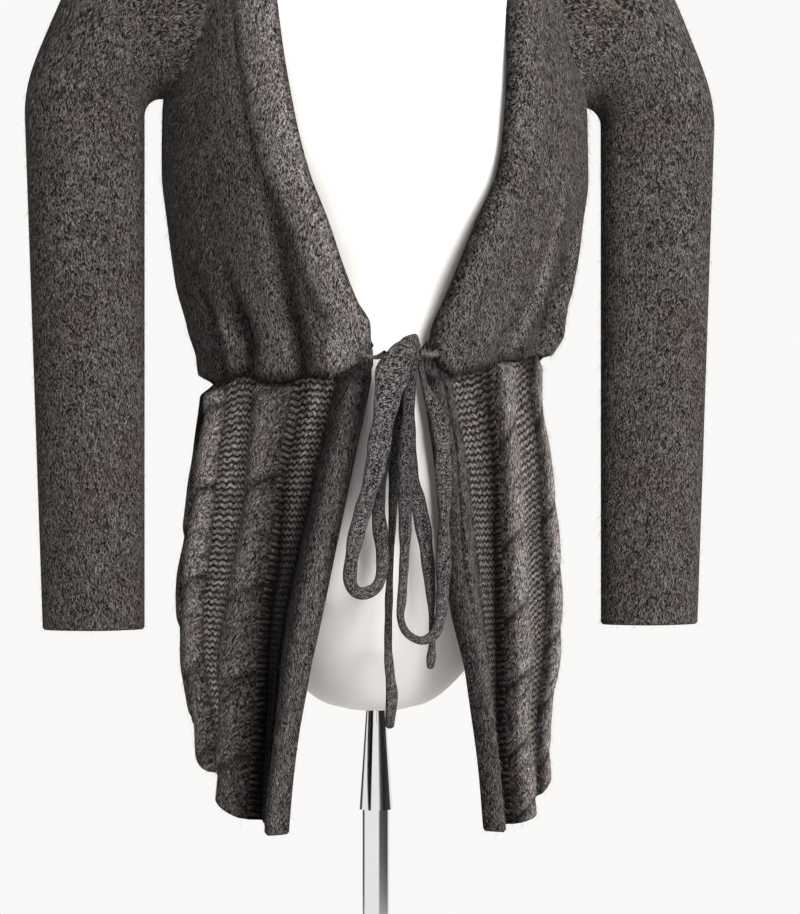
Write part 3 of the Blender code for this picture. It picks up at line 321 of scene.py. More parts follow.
# ---- the tie's routes ----------------------------------------------------------------------------
TIE_WIDTH = 14.0
FOLDED_LOOP_WIDTH = 20      # the wearer's right loop comes folded out of the knot
TIE_ROUTES = {
    "tie_lead_right": (
        (-32.0, -108.5, 1049.6), (-27.5, -113.0, 1048.8), (-21.0, -116.0, 1047.8),
        (-17.0, -119.0, 1048.6), (-13.6, -123.0, 1050.4),
    ),
    "tie_lead_left": (
        (29.0, -108.1, 1051.4), (24.0, -113.5, 1050.0), (19.0, -119.0, 1050.4), (12.5, -122.6, 1051.0),
    ),
    "tie_loop_right": (
        (8.0, -118.5, 1047.0), (7.5, -120.0, 1055.0), (5.0, -126.0, 1062.0), (1.5, -132.5, 1057.5),
        (-4.4, -136.5, 1048.6), (-9.6, -138.0, 1038.0), (-13.0, -138.5, 1025.0), (-15.2, -138.5, 1013.0),
        (-18.2, -138.0, 996.3), (-21.0, -137.0, 979.6), (-24.6, -135.0, 959.1), (-31.6, -132.0, 933.3),
        (-37.4, -130.5, 911.3), (-41.0, -129.5, 891.0), (-41.3, -128.5, 877.5), (-36.5, -127.0, 870.0),
        (-28.5, -125.5, 869.0), (-20.0, -123.5, 874.0), (-15.8, -121.8, 885.0), (-15.4, -121.0, 900.0),
        (-17.0, -120.6, 916.0), (-18.4, -120.5, 932.0), (-17.4, -121.5, 954.5), (-13.5, -122.5, 977.3),
        (-8.5, -123.0, 1000.0), (-3.0, -123.2, 1022.0), (0.3, -123.2, 1038.0), (0.3, -123.2, 1045.9),
    ),
    "tie_tail_long": (
        (2.5, -116.8, 1045.9), (2.2, -116.4, 1036.0), (-0.5, -115.5, 1015.5), (-3.4, -114.6, 990.0),
        (-5.2, -113.6, 965.0), (-5.6, -113.0, 945.0), (-7.0, -113.0, 905.0), (-8.4, -113.0, 880.0),
        (-9.2, -113.0, 855.3), (-9.6, -113.2, 824.8), (-8.0, -114.0, 803.0), (-7.0, -114.5, 790.0),
        (-8.8, -115.0, 768.0),
    ),
    "tie_loop_left": (
        (7.0, -131.0, 1046.0), (5.6, -132.0, 1036.0), (3.8, -133.0, 1024.0), (2.2, -134.0, 1010.0),
        (1.2, -133.5, 985.0), (-0.4, -132.5, 954.5), (0.4, -131.0, 926.0), (0.2, -130.5, 904.4),
        (-0.8, -130.0, 882.4), (-2.0, -130.0, 864.0), (-2.8, -129.0, 850.0), (2.2, -128.0, 838.5),
        (13.8, -126.5, 832.6), (24.4, -125.0, 838.0), (29.0, -125.0, 852.0), (30.2, -125.5, 868.0),
        (30.6, -127.0, 886.0), (30.4, -129.5, 916.5), (30.2, -131.5, 947.0), (29.4, -132.5, 965.0),
        (28.2, -132.5, 984.9), (25.8, -132.0, 1001.0), (21.0, -131.0, 1013.0), (16.4, -130.0, 1024.0),
        (13.4, -129.5, 1036.0), (12.2, -128.5, 1046.0),
    ),
    "tie_tail_short": (
        (8.4, -122.0, 1045.9), (7.6, -121.6, 1036.0), (6.0, -121.0, 1015.4), (5.6, -120.0, 997.0),
        (6.4, -119.0, 977.3), (8.8, -118.0, 954.5), (12.8, -117.4, 937.0), (17.4, -116.8, 914.8),
        (21.2, -116.4, 885.8), (23.2, -116.4, 859.0), (23.8, -116.4, 830.0), (22.6, -116.6, 813.0),
    ),
}
# share of the length, half width, half thickness, how far the flat side turns away from the front in degrees
TIE_SHAPES = {
    "tie_lead_right": ((0, 2.4, 1.6, 0), (0.35, 1.7, 1.4, 60), (0.7, 2.2, 1.6, 120), (1, 2.8, 2.2, 150)),
    "tie_lead_left": ((0, 2.6, 1.8, 0), (0.5, 2.0, 1.6, 60), (1, 2.8, 2.2, 90)),
    "tie_loop_right": (
        (0, 7.0, 2.6, 0), (0.035, 6.6, 2.8, 0), (0.06, 7.4, 2.8, 0), (0.09, 10.6, 2.6, 0),
        (0.12, 12.2, 2.4, 0), (0.155, 11.0, 2.4, 0), (0.22, 8.8, 2.5, 0), (0.30, 7.6, 2.6, 0),
        (0.38, 6.4, 2.8, 0), (0.48, 5.6, 3.0, 10), (0.56, 4.4, 3.0, 10), (0.64, 5.2, 3.0, 0),
        (0.72, 5.4, 2.8, 0), (0.8, 5.0, 2.6, 0), (1, 4.4, 2.6, 0),
    ),
    "tie_loop_left": (
        (0, 3.0, 2.4, 0), (0.06, 4.6, 2.6, 0), (0.14, 5.4, 2.6, 0), (0.22, 5.2, 2.8, 0),
        (0.30, 4.4, 2.6, 10), (0.40, 3.3, 2.8, 10), (0.47, 3.0, 3.0, 20), (0.53, 3.8, 3.0, 10),
        (0.60, 5.4, 3.0, 0), (0.66, 5.6, 3.0, 0), (0.72, 4.4, 2.8, 0), (0.80, 6.2, 2.6, 0),
        (0.88, 6.4, 2.6, 0), (0.93, 4.6, 2.6, 0), (0.965, 2.6, 2.4, 0), (1, 2.4, 2.4, 0),
    ),
    "tie_tail_long": (
        (0, 5.0, 2.4, 0), (0.2, 5.2, 2.4, 0), (0.35, 3.9, 2.4, 0), (0.52, 2.4, 2.4, 0),
        (0.7, 3.0, 2.4, 0), (0.86, 3.4, 2.6, 0), (0.91, 4.6, 3.4, 0), (0.96, 4.6, 3.4, 0),
        (1, 3.6, 3.0, 0),
    ),
    "tie_tail_short": (
        (0, 3.4, 2.2, 0), (0.25, 4.6, 2.2, 0), (0.4, 5.4, 2.2, 0), (0.56, 6.2, 2.4, 0),
        (0.7, 4.6, 2.4, 0), (0.86, 2.4, 2.2, 10), (0.94, 2.6, 2.4, 0), (0.97, 3.4, 3.0, 0),
        (1, 2.8, 2.6, 0),
    ),
}
# share of the length, and which way the flat side looks there; to the front where no row says otherwise
TIE_FACINGS = {
    "tie_loop_right": (
        (0, 0, 1, 0), (0.02, 0, 0.9, 0.3), (0.05, -0.28, 0, 1), (0.075, -0.15, -0.8, 0.6),
        (0.1, 0, -1, 0.1), (0.15, 0, -1, 0), (1, 0, -1, 0),
    ),
}
TIE_ENDS = ("tie_tail_long", "tie_tail_short")
# share of the length, and the painted light and shade on the tape there: darker where it hangs close behind
# another strand
TIE_SHADES = {
    "tie_lead_right": ((0, 1.2), (0.5, 1.9), (1, 1.5)),
    "tie_lead_left": ((0, 1.0), (0.5, 1.6), (1, 1.2)),
    "tie_loop_right": ((0, 0.4), (0.04, 1), (0.55, 1), (0.68, 0.85), (0.76, 0.4), (1, 0.2)),
    "tie_tail_long": ((0, 0.25), (0.3, 0.35), (0.42, 0.8), (0.5, 1), (1, 1)),
    "tie_tail_short": ((0, 0.35), (0.2, 0.5), (0.45, 0.85), (0.6, 1), (1, 1)),
    "tie_loop_left": ((0, 0.5), (0.1, 0.65), (0.25, 0.75), (0.4, 1), (0.9, 1), (1, 0.6)),
}
KNOT_LOW, KNOT_HIGH = (-9.0, -132.0, 1039.0), (14.5, -113.0, 1056.0)

# ---- camera: the photograph's place and angle ----------------------------------------------------
PICTURE_HEIGHT_PX = 914
FOCAL_PX = 3000
CAMERA_AZIMUTH = -10
CAMERA_DISTANCE = 2400
CAMERA_ASIDE = 19.2
CAMERA_HEIGHT = 972

# ---- room ----------------------------------------------------------------------------------------
FLOOR_RADIUS = 3.85         # metres: it ends below the photograph's lower edge
FLOOR_FADES = (0.5, 2.6)    # metres: where the floor turns into the white of the room
ROOM_LIGHT, ROOM_SEEN = 0.54, 0.97
KEY_LIGHT = 270             # watts
KEY_PLACE, KEY_AIM, KEY_SIZE = (1.5, -2.9, 2.5), (0, 0, 1.0), 2.2       # metres
# what only polished metal mirrors: the middle and half width of each dark flag in degrees
FLAGS = ((62, 40), (-140, 12))
FLAG_EDGE = 12              # over how many degrees it fades
FLAG_LIGHT = 0.04


# ---- curves through tables -----------------------------------------------------------------------

def table_curve(rows):
    """Every column of a table as a smooth monotone curve over its first column, for whole arrays at once."""
    rows = np.array(sorted(rows), float)
    x, y = rows[:, 0], rows[:, 1:]
    rise = np.diff(y, axis=0) / np.diff(x)[:, None]
    slope = np.vstack([rise[:1], np.zeros((len(x) - 2, y.shape[1])), rise[-1:]])
    both = rise[:-1] * rise[1:]
    total = np.where(both > 0, rise[:-1] + rise[1:], 1)
    slope[1:-1] = np.where(both > 0, 2 * both / total, 0)

    def at(place):
        place = np.clip(np.asarray(place, float), x[0], x[-1])
        i = np.clip(np.searchsorted(x, place, side="right") - 1, 0, len(x) - 2)
        step = (x[i + 1] - x[i])[..., None]
        t = (place - x[i])[..., None] / step
        return (
            y[i] * (2 * t**3 - 3 * t**2 + 1)
            + slope[i] * step * (t**3 - 2 * t**2 + t)
            + y[i + 1] * (3 * t**2 - 2 * t**3)
            + slope[i + 1] * step * (t**3 - t**2)
        )

    return at


def smooth_step(t):
    t = np.clip(t, 0, 1)
    return t * t * (3 - 2 * t)


def mix(a, b, t):
    return a + (b - a) * t


def hump(distance, reach):
    """1 in the middle, and next to nothing two reaches away."""
    return np.exp(-((distance / reach) ** 2))


form_section = table_curve(FORM_SECTIONS)
drape_section = table_curve(DRAPE_SECTIONS)
band_row = table_curve(BAND_TABLE)


# ---- the cloth's surface -------------------------------------------------------------------------

def section_point(section, angle, height):
    a = np.radians(angle)
    depth = np.where(np.cos(a) > 0, section[..., 1], section[..., 2])
    return np.stack([section[..., 0] * np.sin(a), -depth * np.cos(a), height], axis=-1)


def cloth_section(height):
    """Half width and half depths of the cloth's plain outer surface."""
    resting = form_section(height - REST_UP - PLAIN_WALL) + REST_OUT + PLAIN_WALL
    t = smooth_step((height - REST_FROM) / (REST_TO - REST_FROM))[..., None]
    return mix(drape_section(height), resting, t)


def cloth_points(angle, height, lift):
    """Points that stand out from the cloth's plain outer surface by lift, square to it."""
    def plain(a, z):
        return section_point(cloth_section(z), a, z)

    along = plain(angle + 0.5, height) - plain(angle - 0.5, height)
    up = plain(angle, height + 1.0) - plain(angle, height - 1.0)
    out = np.cross(along, up)
    out /= np.linalg.norm(out, axis=-1, keepdims=True)
    return plain(angle, height) + np.asarray(lift)[..., None] * out


def across_speed(angle, height):
    """Millimetres along the section for one degree."""
    section = cloth_section(height)
    a = np.radians(angle)
    depth = np.where(np.cos(a) > 0, section[..., 1], section[..., 2])
    return math.radians(1) * np.hypot(section[..., 0] * np.cos(a), depth * np.sin(a))


def angle_at(distance, height):
    return np.degrees(np.arcsin(np.clip(distance / cloth_section(height)[..., 0], -1, 1)))


# ---- folds ---------------------------------------------------------------------------------------

def from_front(angle):
    """The angle counted from the centre front, -180 to 180."""
    return (angle + 180) % 360 - 180


def fold_lift(fold, angle, height):
    """One fold that swells between its start and its middle and fades out towards its end."""
    (a0, z0), (a1, z1), (a2, z2), half_width, depth = fold
    centre = table_curve(((z0, a0), (z1, a1), (z2, a2)))(height)[..., 0]
    off = np.clip(np.abs(angle - centre) / half_width, 0, 1)
    fade = 1 - smooth_step((height - z1) / (z2 - z1))
    inside = (height > z0 - 20) & (height < z2)
    return np.where(inside, depth * fade * (0.5 + 0.5 * np.cos(np.pi * off)), 0.0)


def bodice_lift(angle, height):
    """The folds that the solids have too: those drawn in front, and even gathers at the back."""
    angle = from_front(angle)
    lift = sum(fold_lift(fold, angle, height) for fold in BODICE_FOLDS)
    fade = 1 - smooth_step((height - WAIST_SEAM - 12) / BACK_GATHER_REACH)
    across = (np.abs(angle) - 90) / 90
    gathers = BACK_GATHER_HEIGHT * fade * (0.5 - 0.5 * np.cos(np.pi * across * BACK_GATHERS))
    return lift + np.where(np.abs(angle) > 90, gathers, 0.0)


# ---- meshes --------------------------------------------------------------------------------------

def grid_normals(points):
    """Outward directions at each point of a grid whose columns run to the left as seen from outside."""
    out = np.cross(np.gradient(points, axis=1), np.gradient(points, axis=0))
    return out / np.maximum(np.linalg.norm(out, axis=-1, keepdims=True), 1e-9)


def turned_in(grid, normals, wall):
    """A grid with the cloth's edge rolled over its last row and a facing behind it."""
    edge, inside = grid[-1], grid[-3]
    inward = inside[:, :3] - edge[:, :3]
    long = np.maximum(np.linalg.norm(inward, axis=-1, keepdims=True), 1e-9)
    inward /= long
    per_mm = (edge[:, 3:5] - inside[:, 3:5]) / long
    lines = [grid]
    rolled = ((-0.4 * wall, 0.35 * wall, 0.5 * wall), (0.0, wall, wall), (TURNED_IN, wall, 2 * wall))
    for back, deep, run in rolled:
        line = edge.copy()
        line[:, :3] += back * inward - deep * normals[-1]
        line[:, 3:5] += run * per_mm
        lines.append(line[None])
    return np.concatenate(lines), np.concatenate([normals] + [normals[-1:]] * 3)


def hollow_shade(lift, row_mm, column_mm, reach=9.0, strength=0.10):
    """Painted shade: the cloth's colour is made less light where it is deeper than what is around it."""
    def blur(count, step):
        place = np.arange(count) * step
        weight = np.exp(-0.5 * ((place[:, None] - place[None, :]) / reach) ** 2)
        return weight / weight.sum(axis=1, keepdims=True)

    around = blur(lift.shape[0], row_mm) @ lift @ blur(lift.shape[1], column_mm).T
    return np.clip(1 + (lift - around) * strength, 0.12, 1.0)


def seam_shade(height, half_width=4.0, least=0.4):
    """Painted shade: darker where the gathers meet at the waist seam."""
    return 1 - (1 - least) * hump(height - WAIST_SEAM, half_width)


def mesh_piece(name, points, faces, material, corner_uv=None, fields=()):
    """A mesh from points in millimetres and arrays of faces, each array with its own number of corners."""
    mesh = bpy.data.meshes.new(name)
    corners = np.concatenate([group.ravel() for group in faces])
    sizes = np.concatenate([np.full(len(group), group.shape[1]) for group in faces])
    starts = np.concatenate([[0], np.cumsum(sizes)[:-1]])
    mesh.vertices.add(len(points))
    mesh.vertices.foreach_set("co", (points * MM).astype(np.float32).ravel())
    mesh.loops.add(len(corners))
    mesh.loops.foreach_set("vertex_index", corners.astype(np.int32))
    mesh.polygons.add(len(sizes))
    mesh.polygons.foreach_set("loop_start", starts.astype(np.int32))
    mesh.update(calc_edges=True)
    if corner_uv is not None:
        layer = mesh.uv_layers.new(name="stitches")
        layer.data.foreach_set("uv", corner_uv[corners].astype(np.float32).ravel())
    for attribute, values in fields:
        layer = mesh.attributes.new(attribute, "FLOAT", "POINT")
        layer.data.foreach_set("value", values.astype(np.float32).ravel())
    mesh.materials.append(material)
    mesh.shade_smooth()
    piece = bpy.data.objects.new(name, mesh)
    bpy.context.collection.objects.link(piece)
    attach(piece, "root")
    return piece


def grid_piece(
    name, points, stitches, material, closed=False, purl=0.0, shade=1.0, wall=PLAIN_WALL, edges=""
):
    """A sheet through a grid of points in millimetres, and its outer surface for the loose hairs.

    stitches holds (wales, courses) at each point, purl is 1 where the purl side shows, and shade is the painted
    light and shade that scales the knit's colour; edges names the borders that are turned in: b the first row,
    t the last row, l the first column, r the last.
    """
    rows, columns = points.shape[:2]
    fields = [np.broadcast_to(values, (rows, columns))[..., None] for values in (purl, shade)]
    grid = np.concatenate([points, stitches, *fields], axis=-1)
    if closed:
        seam = grid[:, :1].copy()
        seam[..., 3:5] = 2 * grid[:, -1:, 3:5] - grid[:, -2:-1, 3:5]
        grid = np.concatenate([grid, seam], axis=1)
    normals = grid_normals(grid[..., :3])
    surface = (grid[..., :3], normals, grid[..., 5], grid[..., 6])
    for edge in edges:
        columns_first, last_line = edge in "lr", edge in "tr"
        grids = [grid.swapaxes(0, 1), normals.swapaxes(0, 1)] if columns_first else [grid, normals]
        if not last_line:
            grids = [g[::-1] for g in grids]
        grids = turned_in(*grids, wall)
        if not last_line:
            grids = [g[::-1] for g in grids]
        grid, normals = [g.swapaxes(0, 1) for g in grids] if columns_first else grids
    rows, columns = grid.shape[:2]
    number = np.arange(rows * columns).reshape(rows, columns)
    faces = np.stack([number[:-1, :-1], number[:-1, 1:], number[1:, 1:], number[1:, :-1]], axis=-1)
    flat = grid.reshape(-1, 7)
    fields = (("purl", flat[:, 5]), ("shade", flat[:, 6]))
    piece = mesh_piece(name, flat[:, :3], [faces.reshape(-1, 4)], material, flat[:, 3:5], fields)
    return piece, surface


def fibres(name, surface, material, per_cm2, length, seed):
    """Loose mohair: thin strips that leave the knit at a low angle, bend over and taper to nothing."""
    draw = np.random.default_rng(seed)
    points, normals, purl, shade = surface
    along, up = points[:-1, 1:] - points[:-1, :-1], points[1:, :-1] - points[:-1, :-1]
    cell = np.linalg.norm(np.cross(along, up), axis=-1).ravel()
    cell *= (1 - PURL_BARENESS * purl[:-1, :-1].ravel()) * shade[:-1, :-1].ravel() ** 0.5
    count = int(cell.sum() / 100 * per_cm2)
    pick = draw.choice(len(cell), count, p=cell / cell.sum())
    r, c = np.divmod(pick, points.shape[1] - 1)
    u, v = draw.random((2, count, 1))
    root = (
        points[r, c] * (1 - u) * (1 - v) + points[r, c + 1] * u * (1 - v)
        + points[r + 1, c] * (1 - u) * v + points[r + 1, c + 1] * u * v
    )
    out = normals[r, c]
    drop = np.array([0.0, 0.0, -1.0]) + draw.normal(0, HAIR_SPREAD, (count, 3))
    lie = drop - out * (drop * out).sum(axis=1, keepdims=True)
    lie /= np.linalg.norm(lie, axis=1, keepdims=True)

    # most hairs are short and lie low, a few are long or stand off
    rise = draw.uniform(0.1, 0.85, (count, 1)) ** 1.6
    reach = length * draw.uniform(0.35, 1.0, (count, 1)) ** 1.5
    start = lie + out * rise
    bend = draw.normal(0, HAIR_BEND, (count, 3)) + np.array([0.0, 0.0, -0.12])
    middle = root + start * reach * 0.5
    tip = middle + (start * 0.8 + bend - out * rise * 0.5) * reach * 0.5
    wide = np.cross(start, out) + draw.normal(0, 0.25, (count, 3))
    wide *= HAIR_WIDTH / 2 / np.linalg.norm(wide, axis=1, keepdims=True)
    root = root - out * 0.3
    strip = np.stack([root - wide, root + wide, middle + wide * 0.8, middle - wide * 0.8, tip], axis=1)
    first = np.arange(count)[:, None] * 5
    faces = [first + [0, 1, 2, 3], first + [3, 2, 4]]
    # a random lightness, darkened by the painted shade of the knit under the hair
    tone_and_shade = np.repeat(draw.random(count) * shade[r, c], 5)
    return mesh_piece(name, strip.reshape(-1, 3), faces, material, fields=(("tone_and_shade", tone_and_shade),))


def turned_piece(name, profile, material, corners=96, sections=None):
    """A closed solid from (radius, height) pairs turned round the pole, or with the sections' own outline."""
    angles = np.linspace(0, 360, corners, endpoint=False)
    rings = []
    for radius, height in profile:
        section = np.full(3, float(radius)) if sections is None else sections(np.array(float(height)))
        section = np.broadcast_to(section, (corners, 3))
        rings.append(section_point(section, angles, np.full(corners, float(height))))
    number = np.arange(len(rings) * corners).reshape(-1, corners)
    beside = np.roll(number, -1, axis=1)
    sides = np.stack([number[:-1], beside[:-1], beside[1:], number[1:]], axis=-1).reshape(-1, 4)
    piece = mesh_piece(name, np.concatenate(rings), [number[:1, ::-1], sides, number[-1:]], material)
    piece.data.set_sharp_from_angle(angle=math.radians(40))
    return piece


# ---- materials -----------------------------------------------------------------------------------

def linear(hex_colour):
    """An sRGB hex colour as linear red, green, blue and full alpha."""
    values = [int(hex_colour[i:i + 2], 16) / 255 for i in (1, 3, 5)]
    return (*(v / 12.92 if v <= 0.04045 else ((v + 0.055) / 1.055) ** 2.4 for v in values), 1.0)


def add_node(tree, kind, *values, output=0, settings=(), **links):
    """Adds a shader node and hands back one of its outputs, or the node itself where output is None.

    kind is its type, and its operation after a colon. values go to its inputs in order, and links to the inputs
    of those names (_4 is input 4): each is a number, a colour or another node's output.
    """
    kind, _, operation = kind.partition(":")
    node = tree.nodes.new("ShaderNode" + kind)
    if operation:
        node.operation = operation
    for key, value in dict(settings).items():
        setattr(node, key, value)
    inputs = list(enumerate(values))
    for key, value in links.items():
        inputs.append((int(key[1:]) if key[0] == "_" else key.replace("_", " "), value))
    for place, value in inputs:
        if isinstance(value, bpy.types.NodeSocket):
            tree.links.new(value, node.inputs[place])
        else:
            node.inputs[place].default_value = value
    return node if output is None else node.outputs[output]


def new_material(name):
    material = bpy.data.materials.new(name)
    material.use_nodes = True
    return material, material.node_tree, material.node_tree.nodes["Principled BSDF"]


def wool_knit(name, dark, light, tint, stroke, stitch_depth):
    """Brushed wool and mohair yarn, knitted: matt, heathered with paler fibres, softly lit at grazing angles.

    dark and light are the yarn's and its palest fibres' colours, and tint warms both in places; stroke is the
    width and length of a paler fibre as it shows; stitch_depth is how clearly a plain stitch does.
    """
    material, tree, shader = new_material(name)

    def node(kind, *values, **links):
        return add_node(tree, kind, *values, **links)

    stitches = node("UVMap", settings={"uv_map": "stitches"})
    place = node("SeparateXYZ", stitches, output=None)
    wale, course = place.outputs["X"], place.outputs["Y"]
    purl_share = node("Attribute", output="Fac", settings={"attribute_name": "purl"})
    shade = node("Attribute", output="Fac", settings={"attribute_name": "shade"})

    # plain side: the two legs of each stitch lean out from its middle, so that a column reads as a chain of Vs
    leg = node("Math:ABSOLUTE", node("Math:SUBTRACT", node("Math:FRACT", wale), 0.5))
    climb = node("Math:MULTIPLY", node("Math:SUBTRACT", course, leg), math.pi)
    along = node("Math:ABSOLUTE", node("Math:SINE", climb))
    across = node("Math:SINE", node("Math:MULTIPLY", leg, 2 * math.pi))
    plain = node("Math:POWER", node("Math:MULTIPLY", along, across), 0.5)
    plain = node("Math:MULTIPLY_ADD", plain, stitch_depth, 1 - stitch_depth)

    # purl side: one wavy ridge to a course
    wave = node("Math:MULTIPLY", node("Math:COSINE", node("Math:MULTIPLY", wale, 2 * math.pi)), PURL_WAVE)
    ridge = node("Math:MULTIPLY", node("Math:ADD", wave, course), 2 * math.pi)
    purl = node("Math:POWER", node("Math:MULTIPLY_ADD", node("Math:COSINE", ridge), 0.5, 0.5), PURL_ROUNDNESS)
    height = node("Mix", purl_share, _2=plain, _3=purl)

    # fibres: on the plain side strokes that lean both ways, on the purl side some that lie along the ridges
    flat = node("VectorMath:MULTIPLY", stitches, (WALE, COURSE, 0))
    left, right = (
        node(
            "Mapping", flat, Rotation=(0, 0, math.radians(lean)), Scale=(*stroke, 1),
            settings={"vector_type": "TEXTURE"},
        )
        for lean in STROKE_LEANS
    )
    ridges = node("CombineXYZ", wale, node("Math:ADD", course, wave), 0.0)
    lying = node("VectorMath:MULTIPLY", ridges, (WALE / stroke[1], COURSE / stroke[0], 0))
    left = node("Mix", purl_share, output=1, settings={"data_type": "VECTOR"}, _4=left, _5=lying)
    left, right = (
        node("TexVoronoi", Vector=vector, Scale=1.0, output="Color", settings={"voronoi_dimensions": "2D"})
        for vector in (left, right)
    )
    nap, clumps, drift = (
        node(
            "TexNoise", Vector=flat, Scale=scale, Detail=2.0, Roughness=0.7,
            settings={"noise_dimensions": "2D"},
        )
        for scale in NAP_SCALES
    )
    pale = node("Math:MAXIMUM", left, right)
    pale = node("Math:MULTIPLY_ADD", node("Math:SUBTRACT", nap, 0.5), NAP_CONTRAST, pale)
    pale = node("Math:MULTIPLY_ADD", node("Math:SUBTRACT", clumps, 0.5), CLUMP_CONTRAST, pale)
    # painted light: the purl side's colour is made paler
    pale = node("Math:MULTIPLY_ADD", purl_share, PURL_PALER, pale)
    pale = node("Math:POWER", node("MapRange", pale, *FLECK_RANGE, 0.0, 1.0), FLECK_CURVE)
    colour = {"data_type": "RGBA"}
    yarn = node("Mix", pale, output=2, settings=colour, _6=linear(dark), _7=linear(light))

    # the dye drifts between grey and brown
    warm = node("MapRange", drift, 0.35, 0.65, 0.0, 0.9)
    warm = node("Math:MAXIMUM", warm, node("Math:MULTIPLY", purl_share, PURL_WARMTH))
    yarn = node("Mix", warm, output=2, settings=colour | {"blend_type": "MULTIPLY"}, _6=yarn, _7=linear(tint))

    # painted shade: the colour is made dark between the yarns, and deep in a fold through the shade attribute
    hollow = node("MapRange", height, 0.3, 0.85, HOLLOW_SHADE, 1.0)
    shaded = node("VectorMath:SCALE", yarn, Scale=node("Math:MULTIPLY", hollow, shade))
    relief = node("Math:MULTIPLY_ADD", nap, NAP_BUMP, height)
    bump = node("Bump", Strength=1.0, Distance=STITCH_BUMP * MM, Height=relief)
    tree.links.new(shaded, shader.inputs["Base Color"])
    tree.links.new(bump, shader.inputs["Normal"])
    shader.inputs["Roughness"].default_value = 0.94
    shader.inputs["Specular IOR Level"].default_value = 0.06
    shader.inputs["Sheen Weight"].default_value = 0.05
    shader.inputs["Sheen Roughness"].default_value = 0.5
    shader.inputs["Sheen Tint"].default_value = linear("#a9a3a2")
    return material


def mohair_fibre_material():
    """Loose mohair: paler than the yarn, glossy along its length, uneven in colour at random, and darker with
    the knit's painted shade.
    """
    material, tree, shader = new_material("mohair_fibre")
    tone_and_shade = add_node(tree, "Attribute", output="Fac", settings={"attribute_name": "tone_and_shade"})
    share = add_node(tree, "Math:POWER", tone_and_shade, 1.5)
    ends = {"_6": linear("#1b1918"), "_7": linear("#8c8785")}
    colour = add_node(tree, "Mix", share, output=2, settings={"data_type": "RGBA"}, **ends)
    tree.links.new(colour, shader.inputs["Base Color"])
    shader.inputs["Roughness"].default_value = 0.6
    shader.inputs["Specular IOR Level"].default_value = 0.4
    return material


def form_shell_material():
    """Sprayed white plastic, moulded smooth: bright, with a broad soft sheen."""
    material, _, shader = new_material("white_form_shell")
    shader.inputs["Base Color"].default_value = linear("#d1cfcd")
    shader.inputs["Roughness"].default_value = 0.5
    return material


def chrome_material():
    """Plated steel tube, polished: a mirror with dark and light stripes down it."""
    material, _, shader = new_material("chrome")
    shader.inputs["Base Color"].default_value = linear("#e6e6e6")
    shader.inputs["Metallic"].default_value = 1.0
    shader.inputs["Roughness"].default_value = 0.12
    return material


# ---- bodice --------------------------------------------------------------------------------------

BODICE_TURN_ROW = 9        # the rows are counted 0 to 9 up to the underarm, and 9 to 18 above it


def shares_above(row):
    """How far up from the underarm a row is, from 0 to 1: rows lie closer together where the cloth turns."""
    return 0.5 - 0.5 * np.cos(np.pi * np.clip(row - BODICE_TURN_ROW, 0, BODICE_TURN_ROW) / BODICE_TURN_ROW)


def row_height(row, top):
    low = WAIST_SEAM + (UNDERARM - WAIST_SEAM) * np.clip(row / BODICE_TURN_ROW, 0, 1)
    return low + (top - UNDERARM) * shares_above(row)


def band_places(side, row):
    """Angles and heights of the band's free edge and of its seam, for rows of the bodice."""
    seam_height = row_height(row, SHOULDER_NECK)
    edge_height, left_edge, right_edge, left_seam, right_seam = np.moveaxis(band_row(seam_height), -1, 0)
    edge, seam = (left_edge, left_seam) if side > 0 else (right_edge, right_seam)
    edge_angle, seam_angle = angle_at(edge, edge_height), angle_at(seam, seam_height)
    into_shoulder = smooth_step((seam_height - 1413) / (SHOULDER_NECK - 1413))
    edge_angle = mix(edge_angle, 90, into_shoulder)
    seam_angle = mix(seam_angle, 90, into_shoulder)
    return (side * edge_angle, edge_height), (side * seam_angle, seam_height)


def side_places(side, cut, row):
    """Angles and heights where the rows meet the side seam, and the armhole above it."""
    turn = np.clip((row - BODICE_TURN_ROW) / BODICE_TURN_ROW, 0, 1)
    bite = cut * np.clip(np.sin(np.pi * turn), 0, 1) ** 0.9
    return side * (90 - bite), row_height(row, SHOULDER_POINT)


def row_marks(spacing_low, spacing_high):
    low = np.linspace(0, BODICE_TURN_ROW, round((UNDERARM - WAIST_SEAM) / spacing_low) + 1)
    high = np.linspace(BODICE_TURN_ROW, 2 * BODICE_TURN_ROW, round(175 / spacing_high) + 1)
    return np.concatenate([low, high[1:]])


def raised_waist(angle, height, reach):
    """The waist seam climbs towards the wearer's left side; the cloth goes along, less and less further off."""
    angle = from_front(angle)
    rise = WAIST_RISE * smooth_step((angle - 8) / 55) * (1 - smooth_step((angle - 110) / 60))
    rise = rise + WAIST_WAVE * np.sin(np.radians(angle) * 11 + 0.6) * smooth_step((np.abs(angle) - 24) / 10)
    near = 1 - smooth_step(np.abs(height - WAIST_SEAM) / reach)
    return height + rise * near


def waist_puff(angle, height):
    """The gathered cloth bulges over the waist seam in uneven lumps."""
    up = (height - WAIST_SEAM) / PUFF_REACH
    bulge = np.clip(np.sin(np.pi * np.clip(up, 0, 1) ** 0.6), 0, 1)
    lumps = 0.8 + 0.4 * np.sin(np.radians(angle) * 13 + 1.1) + 0.3 * np.sin(np.radians(angle) * 29 + 0.4)
    return PUFF * bulge * lumps


def small_folds(angle, height):
    """Soft drag lines that fan out upwards from the gathers, uneven in width and depth."""
    drawn = sum(fold_lift(fold, from_front(angle), height) for fold in FINE_FOLDS)
    up = np.clip((height - WAIST_SEAM) / 170, 0, 1.3)
    turn = np.radians(angle) * (1 - 0.12 * up)
    fade = np.exp(-2.2 * up) * 1.9 + 0.35
    wide, narrow = np.sin(turn * 17 + 0.7 + 1.3 * up), np.sin(turn * 31 + 2.0 - 0.8 * up)
    return drawn + fade * (wide * 0.55 + narrow * 0.35)


def folds(angle, height):
    """All that stands out from the bodice's plain surface."""
    return VISUAL_FOLDS * bodice_lift(angle, height) + waist_puff(angle, height) + small_folds(angle, height)


